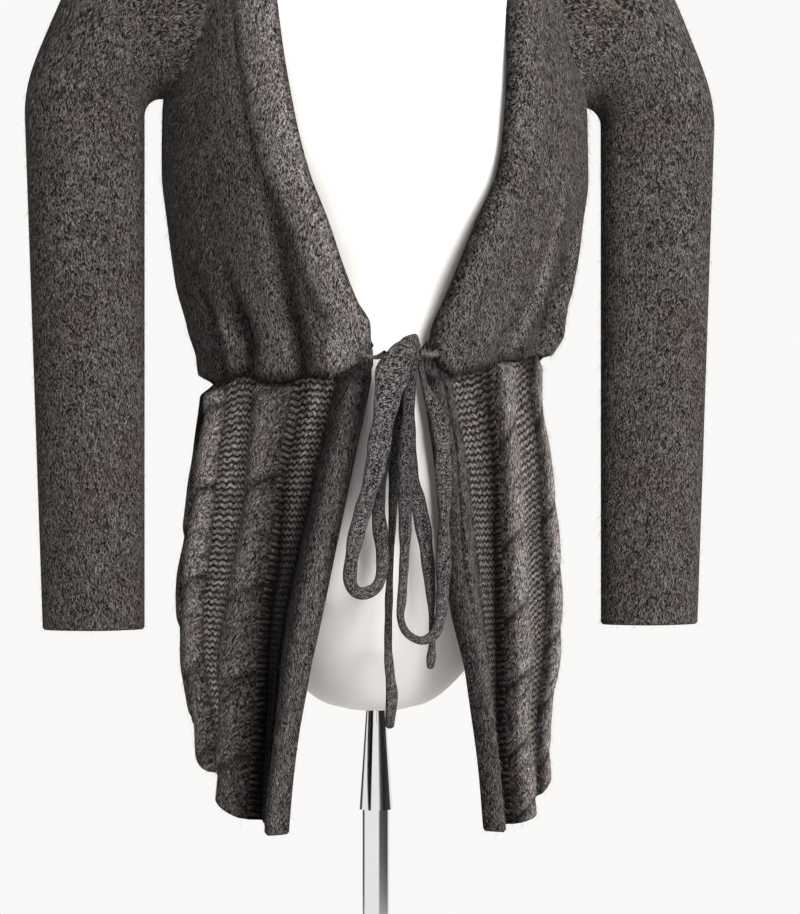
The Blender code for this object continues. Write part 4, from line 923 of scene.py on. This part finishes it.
def bodice_surface(angle, height, extra=0.0):
    """Points, stitches and painted light and shade of the bodice's cloth, which dips to the waist seam."""
    lift = folds(angle, height) + extra
    lift = mix(SEAM_LIFT, lift, smooth_step((height - WAIST_SEAM + 1) / 9))
    points = cloth_points(angle, raised_waist(angle, height, BODICE_FOLLOWS), lift)
    stitches = np.stack([angle * DEGREE_OF_BODICE / WALE, height / COURSE], axis=-1)
    # painted highlight on a fold's lit edge and painted shade beside it
    drag = 1 + sum(fold_lift(line, from_front(angle), height) for line in PAINTED_FOLD_LIGHTS)
    return points, stitches, hollow_shade(lift, 2.1, 2.0) * seam_shade(height) * drag


def bodice_front(name, side, material):
    row = row_marks(2.0, 2.0)[:, None]
    seam_angle, seam_height = band_places(side, row)[1]
    side_angle, side_height = side_places(side, ARMHOLE_FRONT, row)
    t = np.linspace(0, 1, 66)[None, :]
    angle, height = mix(seam_angle, side_angle, t), mix(seam_height, side_height, t)
    at_seam = -BAND_SEAM_DIP * np.clip(1 - t / 0.10, 0, 1) ** 1.5
    points, stitches, shade = bodice_surface(angle, height, at_seam)
    return grid_piece(name, points[:, ::side], stitches[:, ::side], material, shade=shade[:, ::side])


def bodice_back(name, material):
    row = row_marks(2.4, 2.4)[:, None]
    side_angle, side_height = side_places(1, -ARMHOLE_BACK, row)
    u = np.linspace(0, 1, 91)[None, :]
    shoulder = 3 / 11
    v = np.clip((u - shoulder) / (1 - shoulder), 0, 1)
    top_angle = np.where(u < shoulder, 90, 90 + 90 * v)
    top_height = np.where(
        u < shoulder,
        SHOULDER_POINT + (SHOULDER_NECK - SHOULDER_POINT) * u / shoulder,
        SHOULDER_NECK + (BACK_NECK - SHOULDER_NECK) * np.sin(np.pi / 2 * v),
    )
    centre_height = row_height(row, BACK_NECK)
    pull = np.clip((row - BODICE_TURN_ROW) / BODICE_TURN_ROW, 0, 1) ** 4
    angle = mix(side_angle, 180.0, u) + pull * (top_angle - mix(90.0, 180.0, u))
    height = mix(side_height, centre_height, u) + pull * (top_height - mix(SHOULDER_POINT, BACK_NECK, u))
    angle = np.concatenate([angle, 360 - angle[:, -2::-1]], axis=1)
    height = np.concatenate([height, height[:, -2::-1]], axis=1)
    points, stitches, shade = bodice_surface(angle, height)
    return grid_piece(name, points, stitches, material, shade=shade)


def bodice_band(name, side, material):
    row = row_marks(1.7, 1.7)[:, None]
    (edge_angle, edge_height), (seam_angle, seam_height) = band_places(side, row)
    t = np.linspace(0, 1, 23)[None, :]
    angle, height = mix(edge_angle, seam_angle, t), mix(edge_height, seam_height, t)
    bottom = mix(BAND_SEAM_AT_EDGE, WAIST_SEAM, t) + CORNER_ROUND * np.clip(1 - t / 0.5, 0, 1) ** 2
    top = height[-1:]
    lower = bottom + (height - height[:1]) * (top - bottom) / (top - height[:1])
    placed = [np.interp(lower[:, c], height[:, c], side * angle[:, c]) for c in range(t.size)]
    angle, height = side * np.stack(placed, axis=1), lower
    low = np.clip((height - bottom) / 12, 0, 1)
    round_off = np.sqrt(np.clip(1 - (1 - low) ** 2, 0, 1))
    across = 2 * t - 1
    roll = BODICE_BAND_ROLL * (1 - np.abs(across) ** 2.6) - 1.5 * (t > 0.5) * np.abs(across) ** 3
    roll = roll - EDGE_CURL * np.clip(1 - t / 0.22, 0, 1) ** 2
    lift = (roll + folds(angle, height) * t + EDGE_UNDER) * round_off + BAND_WALL - PLAIN_WALL - EDGE_UNDER
    points = cloth_points(angle, height, lift)
    stitches = np.stack([angle * DEGREE_OF_BAND / WALE, height / COURSE], axis=-1)
    shade = hollow_shade(lift, 1.8, 1.9) * BODICE_BAND_PAINTED_LIGHT[side]
    edges = "l" if side > 0 else "r"
    return grid_piece(
        name, points[:, ::side], stitches[:, ::side], material, shade=shade[:, ::side], wall=2.5, edges=edges
    )


def neck_band(name, material):
    angle = np.linspace(90, 270, 121)[None, :]
    rise = np.sin(np.radians(angle - 90))
    low = SHOULDER_NECK + (BACK_NECK - SHOULDER_NECK) * rise
    high = NECK_EDGE_SHOULDER + (NECK_EDGE_BACK - NECK_EDGE_SHOULDER) * rise
    t = np.linspace(0, 1, 15)[:, None]
    height = mix(low, high, t)
    angle = angle + 0 * t
    lift = 3.0 * np.sin(np.pi * t) ** 0.8 + BAND_WALL - PLAIN_WALL + 0 * angle
    points = cloth_points(angle, height, lift)
    stitches = np.stack([angle * DEGREE_OF_NECK / WALE, height / COURSE], axis=-1)
    return grid_piece(name, points, stitches, material, edges="t", wall=4.0)


# ---- sleeves -------------------------------------------------------------------------------------

def armhole_points(side, k):
    """The armhole's points for k from 0, at the underarm, up the front to 9 and down the back to 18."""
    turn = BODICE_TURN_ROW
    front_angle, front_height = side_places(side, ARMHOLE_FRONT, turn + np.clip(k, 0, turn))
    back_angle, back_height = side_places(side, -ARMHOLE_BACK, 3 * turn - np.clip(k, turn, 2 * turn))
    front = k <= turn
    angle, height = np.where(front, front_angle, back_angle), np.where(front, front_height, back_height)
    return cloth_points(angle, height, bodice_lift(angle, height))


def sleeve(name, side, material):
    k = np.linspace(0, 2 * BODICE_TURN_ROW, SLEEVE_COLUMNS, endpoint=False)[None, :]
    row = np.concatenate([np.linspace(0, 5, 90), np.linspace(5, 10, 160)[1:]])[:, None]
    turn, down = np.clip(row / 5, 0, 1), np.clip((row - 5) / 5, 0, 1)
    lean = np.pi / 2 * turn
    opening = SHOULDER_POINT - UNDERARM
    width = SLEEVE_WIDTH_TOP + (opening - SLEEVE_WIDTH_TOP) * np.cos(lean) ** 5
    width = width + (SLEEVE_WIDTH_CUFF - SLEEVE_WIDTH_TOP) * down
    depth = mix(SLEEVE_HALF_DEPTH_TOP, SLEEVE_HALF_DEPTH_CUFF, down) + SLEEVE_HEAD_DEPTH * np.cos(lean) ** 2
    t = np.pi * k / BODICE_TURN_ROW
    fold = SLEEVE_FOLD * turn * np.sin(3 * t + 2.4 * down + 0.8) * np.sin(t) ** 2
    drag = hump(down - 0.12, 0.16) + 0.8 * hump(down - 0.62, 0.10)
    creases = SLEEVE_DRAG * drag * np.sin(19 * down + 2.1 * np.sin(t + 0.4) + side)
    fold = fold + creases * (0.6 + 0.4 * np.sin(2 * t + side))
    reach = SLEEVE_TURN + width * (0.5 - 0.5 * np.cos(t))
    fall = (UNDERARM - SLEEVE_TURN - SLEEVE_CUFF) * down
    start = cloth_section(np.array(float(UNDERARM)))[0] + 1
    x = side * (start + np.sin(lean) * reach)
    y = -(depth + fold) * np.sin(t)
    z = UNDERARM - SLEEVE_TURN + np.cos(lean) * reach - fall
    hanging = np.stack(np.broadcast_arrays(x, y, z), axis=-1)
    joined = armhole_points(side, k)
    blend = np.clip(1 - row, 0, 1)[..., None]
    points = mix(hanging, np.broadcast_to(joined, hanging.shape), blend)
    steps = np.linalg.norm(np.diff(points, axis=0, prepend=points[:1]), axis=-1).mean(axis=1)
    length = np.cumsum(steps)[:, None]
    stitches = np.stack(np.broadcast_arrays(k * MARK_OF_SLEEVE / WALE, -length / COURSE), axis=-1)
    if side < 0:
        points, stitches = points[:, ::-1], stitches[:, ::-1]
    return grid_piece(name, points[::-1], stitches[::-1], material, closed=True, edges="b", wall=4.0)


# ---- skirt ---------------------------------------------------------------------------------------

def hem_height(angle):
    rise = smooth_step((np.abs(from_front(angle)) - HEM_RISES_FROM) / (HEM_RISES_TO - HEM_RISES_FROM))
    return HEM_FRONT + (HEM_BACK - HEM_FRONT) * rise


def cable_roll(across, height, crossings):
    """How high a cable stands, from 0 to 1, which of its stitches lies there, and its painted light and shade.

    across is from -1 to 1. At each crossing one strand comes out from under a slanting groove with a round end;
    further up it goes under the next one.
    """
    level = height - CROSSING_SLANT * (across - CROSSING_BOW * across**2)
    place = np.interp(level, crossings, np.arange(len(crossings)))
    whole = np.clip(np.floor(place), 0, len(crossings) - 2)
    part = place - whole
    spacing = np.diff(crossings)[whole.astype(int)]
    tip = np.sqrt(np.clip(1 - (1 - np.clip(part * spacing / STRAND_TIP, 0, 1)) ** 2, 0, 1))
    dive = smooth_step((part - 0.5) / 0.5)
    pinch = 1 - PINCH * hump(np.minimum(part, 1 - part) * spacing, PINCH_REACH)
    roll = np.sqrt(np.clip(1 - (across / pinch) ** 2, 0, 1)) ** 0.8
    gap = np.where(part < 0.5, part * spacing, (part - 1) * spacing * GROOVE_BELOW)
    # painted shade in the groove and where a strand goes under, and a painted highlight on the round end above
    # it
    light = (1 - GROOVE_SHADE * hump(gap - 0.3, GROOVE_WIDTH)) * (1 - DIVE_SHADE * dive**2)
    light = light * (1 + TIP_LIGHT * hump(gap - TIP_PLACE, TIP_REACH))
    return roll * (0.5 + 0.5 * tip) * (1 - STRAND_DIVE * dive), across - STRAND_DRIFT * part, light


def room_inside(angle, height):
    """How far the cloth's plain surface is from the dress form."""
    a = np.radians(angle)
    cloth, body = cloth_section(height), form_section(height)
    depth = np.where(np.cos(a) > 0, cloth[..., 1] - body[..., 1], cloth[..., 2] - body[..., 2])
    return (cloth[..., 0] - body[..., 0]) * np.sin(a) ** 2 + depth * np.cos(a) ** 2


def ripple(angle, height):
    """The skirt's cloth is never quite even."""
    return 0.8 * np.sin(height / 37 + angle / 9) + 0.5 * np.sin(height / 19 - angle / 5)


def tucked(lift, angle, height, seam):
    """Takes the skirt's top in under the bodice, and keeps its cloth off the form."""
    lift = mix(TUCKED_LIFT, lift, smooth_step((seam - height) / TUCK_REACH))
    return np.maximum(lift, CLEAR_OF_FORM - room_inside(angle, height))


def skirt_columns(side, marks, height):
    """What the cloth of one front of the skirt does at places counted in lines from the opening edge.

    Hands back their angle, how far they stand out, their wale, how far their courses climb, how much of the
    purl side shows and the painted light and shade on their colour.
    """
    table = LEFT_LINES if side > 0 else RIGHT_LINES
    curves = [table_curve(zip(SKIRT_HEIGHTS, angles)) for _, _, angles in table]
    sinks = [table_curve(zip(SINK_HEIGHTS, sink)) for sink in LINE_SINKS]
    shades = [table_curve(zip(SHADE_HEIGHTS, shade)) for shade in LINE_SHADES[side]]
    angle, lift, light = np.zeros_like(height), np.zeros_like(height), np.ones_like(height)
    relief, wale, purl = np.zeros_like(height), np.zeros_like(height), np.zeros_like(height)
    for k in range(len(table) - 1):
        mine = (marks >= k) & ((marks < k + 1) | (k == len(table) - 2))
        mark = marks[mine]
        t = (mark - k)[None, :]
        z = height[:, mine]
        on_cable = "cable, inner" in table[k][0]
        onto = smooth_step(t / LIT_FROM[side]) if on_cable else t
        sink = mix(sinks[k](z)[..., 0], sinks[k + 1](z)[..., 0], smooth_step(t))
        # painted light and shade from the lines' table
        light[:, mine] = mix(shades[k](z)[..., 0], shades[k + 1](z)[..., 0], onto)
        angle[:, mine] = side * mix(curves[k](z)[..., 0], curves[k + 1](z)[..., 0], t)
        lift[:, mine] = mix(table[k][1], table[k + 1][1], smooth_step(t)) + sink
        wale[:, mine] = sum(PANEL_STITCHES[:k]) + PANEL_STITCHES[k] * t
        if on_cable:
            lift[:, mine] += CABLE_PLUMPNESS[side] * CABLE_SWELL * np.sin(np.pi * t) ** 0.7
            relief[:, mine], across, groove = cable_roll(side * (2 * t - 1), z, CABLE_CROSSINGS[side, k])
            # painted shade in the crossings' grooves and along the cable's two sides
            groove = groove ** (GROOVE_SHARE[side] * (1 - GROOVE_FADE * t))
            light[:, mine] *= groove * (ROLL_EDGE_SHADE + (1 - ROLL_EDGE_SHADE) * np.sin(np.pi * t) ** 0.6)
            relief[:, mine] *= CABLE_PLUMPNESS[side]
            wale[:, mine] = across * CABLE_STITCHES / 2
        elif k >= BAND_LINES:
            purl[:, mine] = 1.0
        else:
            crease = BAND_GROOVE[side] * hump(mark - CREASE_PLACE, CREASE_WIDTH)
            crease = crease * smooth_step((z - CREASE_FROM) / (CREASE_TO - CREASE_FROM))
            lift[:, mine] -= CREASE_DEPTH * crease
            # painted shade in the crease
            light[:, mine] *= 1 - CREASE_SHADE * crease
            lift[:, mine] += BAND_ROLL * (1 - np.abs(mark - 1) ** 2.4) - BAND_EDGE_DROP
            # painted shade towards the band's seam
            light[:, mine] *= 1 - 0.5 * np.clip((mark - 1.6) / 0.4, 0, 1) ** 2
            lift[:, mine] -= 0.5 * EDGE_CURL * np.clip(1 - mark / 0.3, 0, 1) ** 2
    climb = table_curve(zip(SINK_HEIGHTS, COURSE_CLIMB[side]))(height)[..., 0]
    climb = climb * smooth_step((marks - FIRST_CABLE - 1) / 2)
    lift += relief * CABLE_HEIGHT
    lift += ripple(angle, height)
    seam = WAIST_SEAM + 1 + BAND_TUCK * np.clip(1 - marks / BAND_LINES, 0, 1)
    return angle, tucked(lift, angle, height, seam), wale, climb, purl, light


def skirt_front(name, side, first, last, material):
    """A front of the skirt, or its band, between two of the side's lines."""
    steps = len(LEFT_LINES) - 1
    marks = np.linspace(0, steps, steps * LINE_COLUMNS + 1)
    hem = np.full((1, len(marks)), float(HEM_FRONT))
    for _ in range(4):
        hem = hem_height(skirt_columns(side, marks, hem)[0])
    top = WAIST_SEAM + TUCKED_IN + (BAND_TOP_RISE - TUCKED_IN) * np.clip(1 - (marks / BAND_LINES) ** 2, 0, 1)
    top = top - BAND_TOP_ROUND * np.clip(1 - marks / 0.5, 0, 1) ** 2
    height = mix(hem, top[None, :], np.linspace(0, 1, FRONT_ROWS)[:, None])
    angle, lift, wale, climb, purl, light = skirt_columns(side, marks, height)
    if first == 0:
        purl[:] = 0.0
    shade = light * hollow_shade(lift, 1.5, 1.9, strength=0.06) * seam_shade(height)
    points = cloth_points(angle, raised_waist(angle, height, SKIRT_FOLLOWS), lift)
    stitches = np.stack([wale, (height - climb) / COURSE], axis=-1)
    keep = (marks >= first) & (marks <= last)
    points, stitches, purl, shade = (grid[:, keep][:, ::side] for grid in (points, stitches, purl, shade))
    wall = PLAIN_WALL if first > 0 else 5.0
    edges = "b" if first > 0 else "bl" if side > 0 else "br"
    return grid_piece(name, points, stitches, material, purl=purl, shade=shade, wall=wall, edges=edges)


def skirt_back(name, material):
    pitch = 180 / BACK_CABLES
    marks = np.linspace(0, BACK_CABLES, BACK_CABLES * BACK_COLUMNS + 1)
    hem = hem_height(90 + marks * pitch)[None, :]
    height = mix(hem, float(WAIST_SEAM + TUCKED_IN), np.linspace(0, 1, BACK_ROWS)[:, None])
    angle = 90 + marks[None, :] * pitch + 0 * height
    number = np.clip(np.floor(marks), 0, BACK_CABLES - 1)
    across = ((marks - number) - 0.5) / (BACK_CABLE_SHARE / 2)
    on_cable = np.abs(across) < 1
    across = np.clip(across, -1, 1)
    swell = np.where(on_cable, BACK_CABLE_SWELL * np.cos(np.pi / 2 * across), 0)
    between = np.cos(2 * np.pi * (marks - number)) * 0.5 + 0.5
    crossings = WAIST_SEAM + CABLE_CROSSING * np.arange(-6, 2)
    level = height + BACK_CROSSING_STEP * number[None, :]
    relief, wale, groove = cable_roll(across[None, :], level, crossings)
    lift = (BACK_PURL_DEPTH + swell)[None, :] + relief * CABLE_HEIGHT * on_cable
    sag, further = BACK_PURL_SAG
    lift -= between[None, :] * (sag + further * smooth_step((WAIST_SEAM - height) / 120)) * ~on_cable
    lift += ripple(angle, height)
    lift = tucked(lift, angle, height, WAIST_SEAM + 1)
    points = cloth_points(angle, raised_waist(angle, height, SKIRT_FOLLOWS), lift)
    wale = np.where(on_cable, wale * CABLE_STITCHES / 2, angle * DEGREE_OF_BACK / WALE)
    stitches = np.stack([wale, height / COURSE], axis=-1)
    shade = np.where(on_cable, groove, 1.0) * hollow_shade(lift, 1.5, 2.0) * seam_shade(height)
    purl = np.where(on_cable, 0.0, 1.0)
    return grid_piece(name, points, stitches, material, purl=purl, shade=shade, edges="b")


# ---- the tie -------------------------------------------------------------------------------------

def smooth_route(route, spacing=2.0):
    """Points along a smooth curve through a route, and how far along it each lies."""
    route = np.array(route, float)
    ends = np.vstack([2 * route[0] - route[1], route, 2 * route[-1] - route[-2]])
    line = []
    for i in range(len(route) - 1):
        p0, p1, p2, p3 = ends[i:i + 4]
        steps = max(2, round(float(np.linalg.norm(p2 - p1)) / spacing))
        t = np.arange(steps)[:, None] / steps
        bend, twist = 2 * p0 - 5 * p1 + 4 * p2 - p3, 3 * p1 - p0 - 3 * p2 + p3
        line.append(0.5 * (2 * p1 + (p2 - p0) * t + bend * t**2 + twist * t**3))
    line = np.vstack([*line, route[-1:]])
    run = np.concatenate([[0], np.cumsum(np.linalg.norm(np.diff(line, axis=0), axis=1))])
    return line, run


def tie_tape(name, material):
    """A flat knitted tape along its route, its wide side to the front except where it turns.

    Hands back the piece with its surface, the route's points and its length.
    """
    line, run = smooth_route(TIE_ROUTES[name])
    shape = table_curve(TIE_SHAPES[name])(run / run[-1])
    along = np.gradient(line, axis=0)
    along /= np.linalg.norm(along, axis=1, keepdims=True)
    facing = table_curve(TIE_FACINGS.get(name, ((0, 0, -1, 0), (1, 0, -1, 0))))(run / run[-1])
    wide = np.cross(along, facing)
    wide /= np.linalg.norm(wide, axis=1, keepdims=True)
    thick = np.cross(along, wide)
    twist = np.radians(shape[:, 2])[:, None]
    wide, thick = wide * np.cos(twist) + thick * np.sin(twist), thick * np.cos(twist) - wide * np.sin(twist)
    t = np.linspace(0, 2 * np.pi, 24, endpoint=False)
    c, s = np.cos(t), np.sin(t)
    c, s = np.sign(c) * np.abs(c) ** 0.75, np.sign(s) * np.abs(s) ** 0.8
    uneven = 1 + 0.07 * np.sin(run / 9.0 + len(name)) + 0.05 * np.sin(run / 4.1 + 1)
    points = (
        line[:, None, :]
        + wide[:, None, :] * ((shape[:, 0] * uneven)[:, None, None] * c[None, :, None])
        + thick[:, None, :] * (shape[:, 1][:, None, None] * s[None, :, None])
    )
    stitches = np.stack(np.broadcast_arrays(t[None, :] * 1.2, run[:, None] / COURSE), axis=-1)
    shade = table_curve(TIE_SHADES.get(name, ((0, 1), (1, 1))))(run / run[-1]) + 0 * t[None, :]
    if name in TIE_ENDS:
        points, stitches = rounded_end(points, line, along, stitches)
        shade = np.concatenate([shade, np.repeat(shade[-1:], 3, axis=0)])
    name = name.replace("tie_", "tape_")
    tape = grid_piece(name, points[::-1], stitches[::-1], material, closed=True, shade=shade[::-1])
    return tape, line, run[-1]


def rounded_end(points, line, along, stitches):
    """Closes a tape's free end with a blunt rounded tip."""
    rings, rows = [points], [stitches]
    for turn in np.radians((30, 60, 85)):
        ring = line[-1] + (points[-1] - line[-1]) * math.cos(turn) + along[-1] * 3.0 * math.sin(turn)
        rings.append(ring[None])
        rows.append(rows[-1][-1:] + [0, 0.2])
    return np.concatenate(rings), np.concatenate(rows)


def tie_knot(material):
    """The lump that the tape is pulled tight over: all but its right side is under the folded loop."""
    low, high = np.array(KNOT_LOW), np.array(KNOT_HIGH)
    middle, half = (low + high) / 2, (high - low) / 2
    v = np.linspace(-np.pi / 2, np.pi / 2, 28)[:, None]
    u = np.linspace(0, 2 * np.pi, 48, endpoint=False)[None, :]
    plump = np.cos(v) ** 0.7
    groove = 1 + 0.07 * np.sin(3 * u + 2.5 * v) + 0.04 * np.sin(5 * u - 4 * v)
    x = plump * np.sin(u) * groove
    y = -plump * np.cos(u) * groove
    z = np.sin(v) + 0 * u
    points = middle + half * np.stack(np.broadcast_arrays(x, y, z), axis=-1)
    stitches = np.stack(np.broadcast_arrays(u * 1.5, v * 2), axis=-1)
    # painted shade: the knot's colour is made darker, as it lies under the folded loop
    return grid_piece("tape_knot", points, stitches, material, closed=True, shade=0.8)


# ---- form and stand ------------------------------------------------------------------------------

def dress_form(shell, chrome):
    """The form's shell, its socket and the pole; the base and the neck's cap stay as they are, in chrome."""
    heights = 0.5 - 0.5 * np.cos(np.linspace(0, np.pi, 160))
    torso = [(0, FORM_BOTTOM + (FORM_TOP - FORM_BOTTOM) * h) for h in heights]
    socket_top = FORM_BOTTOM - 0.3
    socket_bottom = socket_top - SOCKET_LENGTH
    socket = ((SOCKET_BOTTOM_RADIUS, socket_bottom), (SOCKET_TOP_RADIUS, socket_top))
    pole = ((POLE_RADIUS, BASE_THICKNESS + 0.3), (POLE_RADIUS, socket_bottom - 0.3))
    for name, node, slot, profile, material, corners, sections in (
        ("form_shell", "form_torso", "white_form_shell", torso, shell, 128, form_section),
        ("pole_socket", "stand_socket", "chrome", socket, chrome, 64, None),
        ("pole", "stand_pole", "chrome", pole, chrome, 64, None),
    ):
        solid = turned_piece(name, profile, material, corners, sections)
        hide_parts(node)
    for node in ("stand_base", "form_neck_cap"):
        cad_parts[node].data.materials[0] = chrome


# ---- room ----------------------------------------------------------------------------------------

def camera():
    a = math.radians(CAMERA_AZIMUTH)
    place = (
        (math.cos(a) * CAMERA_ASIDE + math.sin(a) * CAMERA_DISTANCE) * MM,
        (math.sin(a) * CAMERA_ASIDE - math.cos(a) * CAMERA_DISTANCE) * MM,
        CAMERA_HEIGHT * MM,
    )
    data = bpy.data.cameras.new("camera")
    data.sensor_fit = "VERTICAL"
    data.sensor_height = 36
    data.lens = FOCAL_PX * data.sensor_height / PICTURE_HEIGHT_PX
    eye = bpy.data.objects.new("camera", data)
    eye.location = place
    eye.rotation_euler = (math.pi / 2, 0, a)
    bpy.context.collection.objects.link(eye)
    bpy.context.scene.camera = eye


def area_light(name, place, aim, size, power, colour):
    data = bpy.data.lights.new(name, "AREA")
    data.shape = "DISK"
    data.size = size
    data.energy = power
    data.color = linear(colour)[:3]
    lamp = bpy.data.objects.new(name, data)
    lamp.location = place
    direction = np.array(aim) - np.array(place)
    yaw = math.atan2(direction[1], direction[0]) - math.pi / 2
    pitch = math.atan2(direction[2], math.hypot(direction[0], direction[1]))
    lamp.rotation_euler = (math.pi / 2 + pitch, 0, yaw)
    bpy.context.collection.objects.link(lamp)


def studio():
    """A white room with a pale floor, and a large soft lamp high in front.

    Polished metal also mirrors dark flags that nothing else sees.
    """
    world = bpy.data.worlds.new("studio")
    world.use_nodes = True
    tree = world.node_tree
    background = tree.nodes["Background"]
    background.inputs["Color"].default_value = linear("#fdfcfb")
    towards = add_node(tree, "TexCoord", output="Generated")
    place = add_node(tree, "SeparateXYZ", towards, output=None)
    front = add_node(tree, "Math:MULTIPLY", place.outputs["Y"], -1.0)
    azimuth = add_node(tree, "Math:ARCTAN2", place.outputs["X"], front)
    rays = add_node(tree, "LightPath", output=None)
    mirrored = 1.0
    for middle, half_width in FLAGS:
        off = add_node(tree, "Math:ABSOLUTE", add_node(tree, "Math:SUBTRACT", azimuth, math.radians(middle)))
        near, far = math.radians(half_width), math.radians(half_width + FLAG_EDGE)
        lit = add_node(tree, "MapRange", off, near, far, FLAG_LIGHT, 1.0)
        mirrored = add_node(tree, "Math:MULTIPLY", mirrored, lit)
    camera_ray, glossy_ray = rays.outputs["Is Camera Ray"], rays.outputs["Is Glossy Ray"]
    seen = add_node(tree, "Math:MULTIPLY_ADD", camera_ray, ROOM_SEEN - ROOM_LIGHT, ROOM_LIGHT)
    seen = add_node(tree, "Mix", glossy_ray, _2=seen, _3=mirrored)
    tree.links.new(seen, background.inputs["Strength"])
    bpy.context.scene.world = world
    bpy.context.scene.view_settings.view_transform = "Standard"
    area_light("key", KEY_PLACE, KEY_AIM, KEY_SIZE, KEY_LIGHT, "#fffdfa")

    material, tree, shader = new_material("pale_floor")
    shader.inputs["Base Color"].default_value = linear("#dfdddb")
    shader.inputs["Roughness"].default_value = 0.9
    shader.inputs["Specular IOR Level"].default_value = 0.1
    spot = add_node(tree, "NewGeometry", output="Position")
    reach = add_node(tree, "VectorMath:LENGTH", spot, output="Value")
    away = add_node(tree, "MapRange", reach, *FLOOR_FADES, 0.0, 1.0)
    room = add_node(tree, "Emission", linear("#fdfcfb"), ROOM_SEEN)
    floor_or_room = add_node(tree, "MixShader", away, shader.outputs[0], room)
    tree.links.new(floor_or_room, tree.nodes["Material Output"].inputs["Surface"])
    turn = np.radians(np.arange(0, 360, 3))
    rim = np.stack([FLOOR_RADIUS * np.sin(turn), -FLOOR_RADIUS * np.cos(turn), 0 * turn - 0.001], axis=-1)
    mesh = bpy.data.meshes.new("floor")
    mesh.from_pydata(rim.tolist(), [], [tuple(range(len(rim)))])
    mesh.materials.append(material)
    floor = bpy.data.objects.new("floor", mesh)
    bpy.context.collection.objects.link(floor)


# ---- the whole -----------------------------------------------------------------------------------

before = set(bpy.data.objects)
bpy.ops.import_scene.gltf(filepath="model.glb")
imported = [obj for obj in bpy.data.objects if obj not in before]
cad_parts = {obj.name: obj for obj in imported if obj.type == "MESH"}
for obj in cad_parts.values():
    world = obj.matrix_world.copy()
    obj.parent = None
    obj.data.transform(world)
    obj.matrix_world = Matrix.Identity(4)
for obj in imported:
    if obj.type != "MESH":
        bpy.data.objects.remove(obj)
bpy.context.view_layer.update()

plain_knit = wool_knit("charcoal_plain_knit", "#0f0e0e", "#6b6766", "#f0e4dc", (0.52, 2.0), 0.25)
cable_knit = wool_knit("charcoal_cable_knit", "#1b1919", "#7e7a79", "#f0e5dd", (0.55, 2.0), 0.25)
band_knit = wool_knit("charcoal_band_knit", "#0c0b0c", "#716d6d", "#f0e6e0", (0.52, 2.0), 0.25)
tape_knit = wool_knit("charcoal_tie_tape", "#070707", "#787576", "#f0ece9", (0.6, 1.0), 0.10)
mohair = mohair_fibre_material()
shell = form_shell_material()
chrome = chrome_material()

# width and length of each cut in metres, its area, and what it hangs from
CUTS = {
    "bodice_front": ((0.17, 0.40), 0.046, "gathered", "form_shell"),
    "bodice_band": ((0.058, 0.46), 0.0265, "hung", "knit_neck_band"),
    "sleeve": ((0.27, 0.56), 0.135, "hung", "form_shell"),
    "skirt_front": ((0.19, 0.36), 0.057, "hung", "knit_bodice_front"),
    "skirt_band": ((0.07, 0.36), 0.0248, "hung", "knit_bodice_front"),
    "bodice_back": ((0.46, 0.42), 0.175, "gathered", "form_shell"),
    "neck_band": ((0.26, 0.05), 0.0129, "laid", "form_shell"),
    "skirt_back": ((0.43, 0.33), 0.128, "hung", "knit_bodice_back"),
}


def cut_cloth(cut, which=""):
    flat, area, held, holder = CUTS[cut]
    if holder == "knit_bodice_front":
        holder += which


def finish_piece(made, node, density, length, seed):
    """Puts a piece of knit in its solid's place and loose hairs on it."""
    piece, surface = made
    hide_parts(node)
    fuzz = fibres("fuzz_" + node.removeprefix("tie_"), surface, mohair, density, length, seed)
    return piece, fuzz


for side, which in ((1, "left"), (-1, "right")):
    for number, (maker, cut, slot, material, density) in enumerate((
        (bodice_front, "bodice_front", "charcoal_plain_knit", plain_knit, FRONT_FUZZ),
        (bodice_band, "bodice_band", "charcoal_band_knit", band_knit, FRONT_FUZZ),
        (sleeve, "sleeve", "charcoal_plain_knit", plain_knit, BACK_FUZZ),
    )):
        node = f"{cut}_{which}"
        made = maker(f"knit_{node}", side, material)
        piece, fuzz = finish_piece(made, node, density, BODICE_HAIR, 10 + number + 5 * side)
        cut_cloth(cut)
    for number, (cut, first, last, slot, material) in enumerate((
        ("skirt_front", BAND_LINES, len(LEFT_LINES) - 1, "charcoal_cable_knit", cable_knit),
        ("skirt_band", 0, BAND_LINES, "charcoal_band_knit", band_knit),
    )):
        node = f"{cut}_{which}"
        made = skirt_front(f"knit_{node}", side, first, last, material)
        piece, fuzz = finish_piece(made, node, FRONT_FUZZ, SKIRT_HAIR, 30 + number + 5 * side)
        cut_cloth(cut, f"_{which}")
for number, (maker, node, slot, material) in enumerate((
    (bodice_back, "bodice_back", "charcoal_plain_knit", plain_knit),
    (neck_band, "neck_band", "charcoal_band_knit", band_knit),
    (skirt_back, "skirt_back", "charcoal_cable_knit", cable_knit),
)):
    made = maker(f"knit_{node}", material)
    piece, fuzz = finish_piece(made, node, BACK_FUZZ, BODICE_HAIR, 50 + number)
    cut_cloth(node)

tapes = {}
for number, name in enumerate(TIE_ROUTES):
    made, line, length = tie_tape(name, tape_knit)
    piece, fuzz = finish_piece(made, name, TAPE_FUZZ, TAPE_HAIR, 70 + number)
    tapes[name] = (piece, fuzz, line, length)
knot = finish_piece(tie_knot(tape_knit), "tie_knot", TAPE_FUZZ, TAPE_HAIR, 80)
for name, far_end, width, extra in (
    ("tie_loop_right", "object", FOLDED_LOOP_WIDTH, [*knot, *tapes["tie_lead_right"][:2]]),
    ("tie_loop_left", "object", TIE_WIDTH, tapes["tie_lead_left"][:2]),
    ("tie_tail_long", "knot", TIE_WIDTH, []),
    ("tie_tail_short", "knot", TIE_WIDTH, []),
):
    piece, fuzz, line, length = tapes[name]
dress_form(shell, chrome)
camera()
studio()
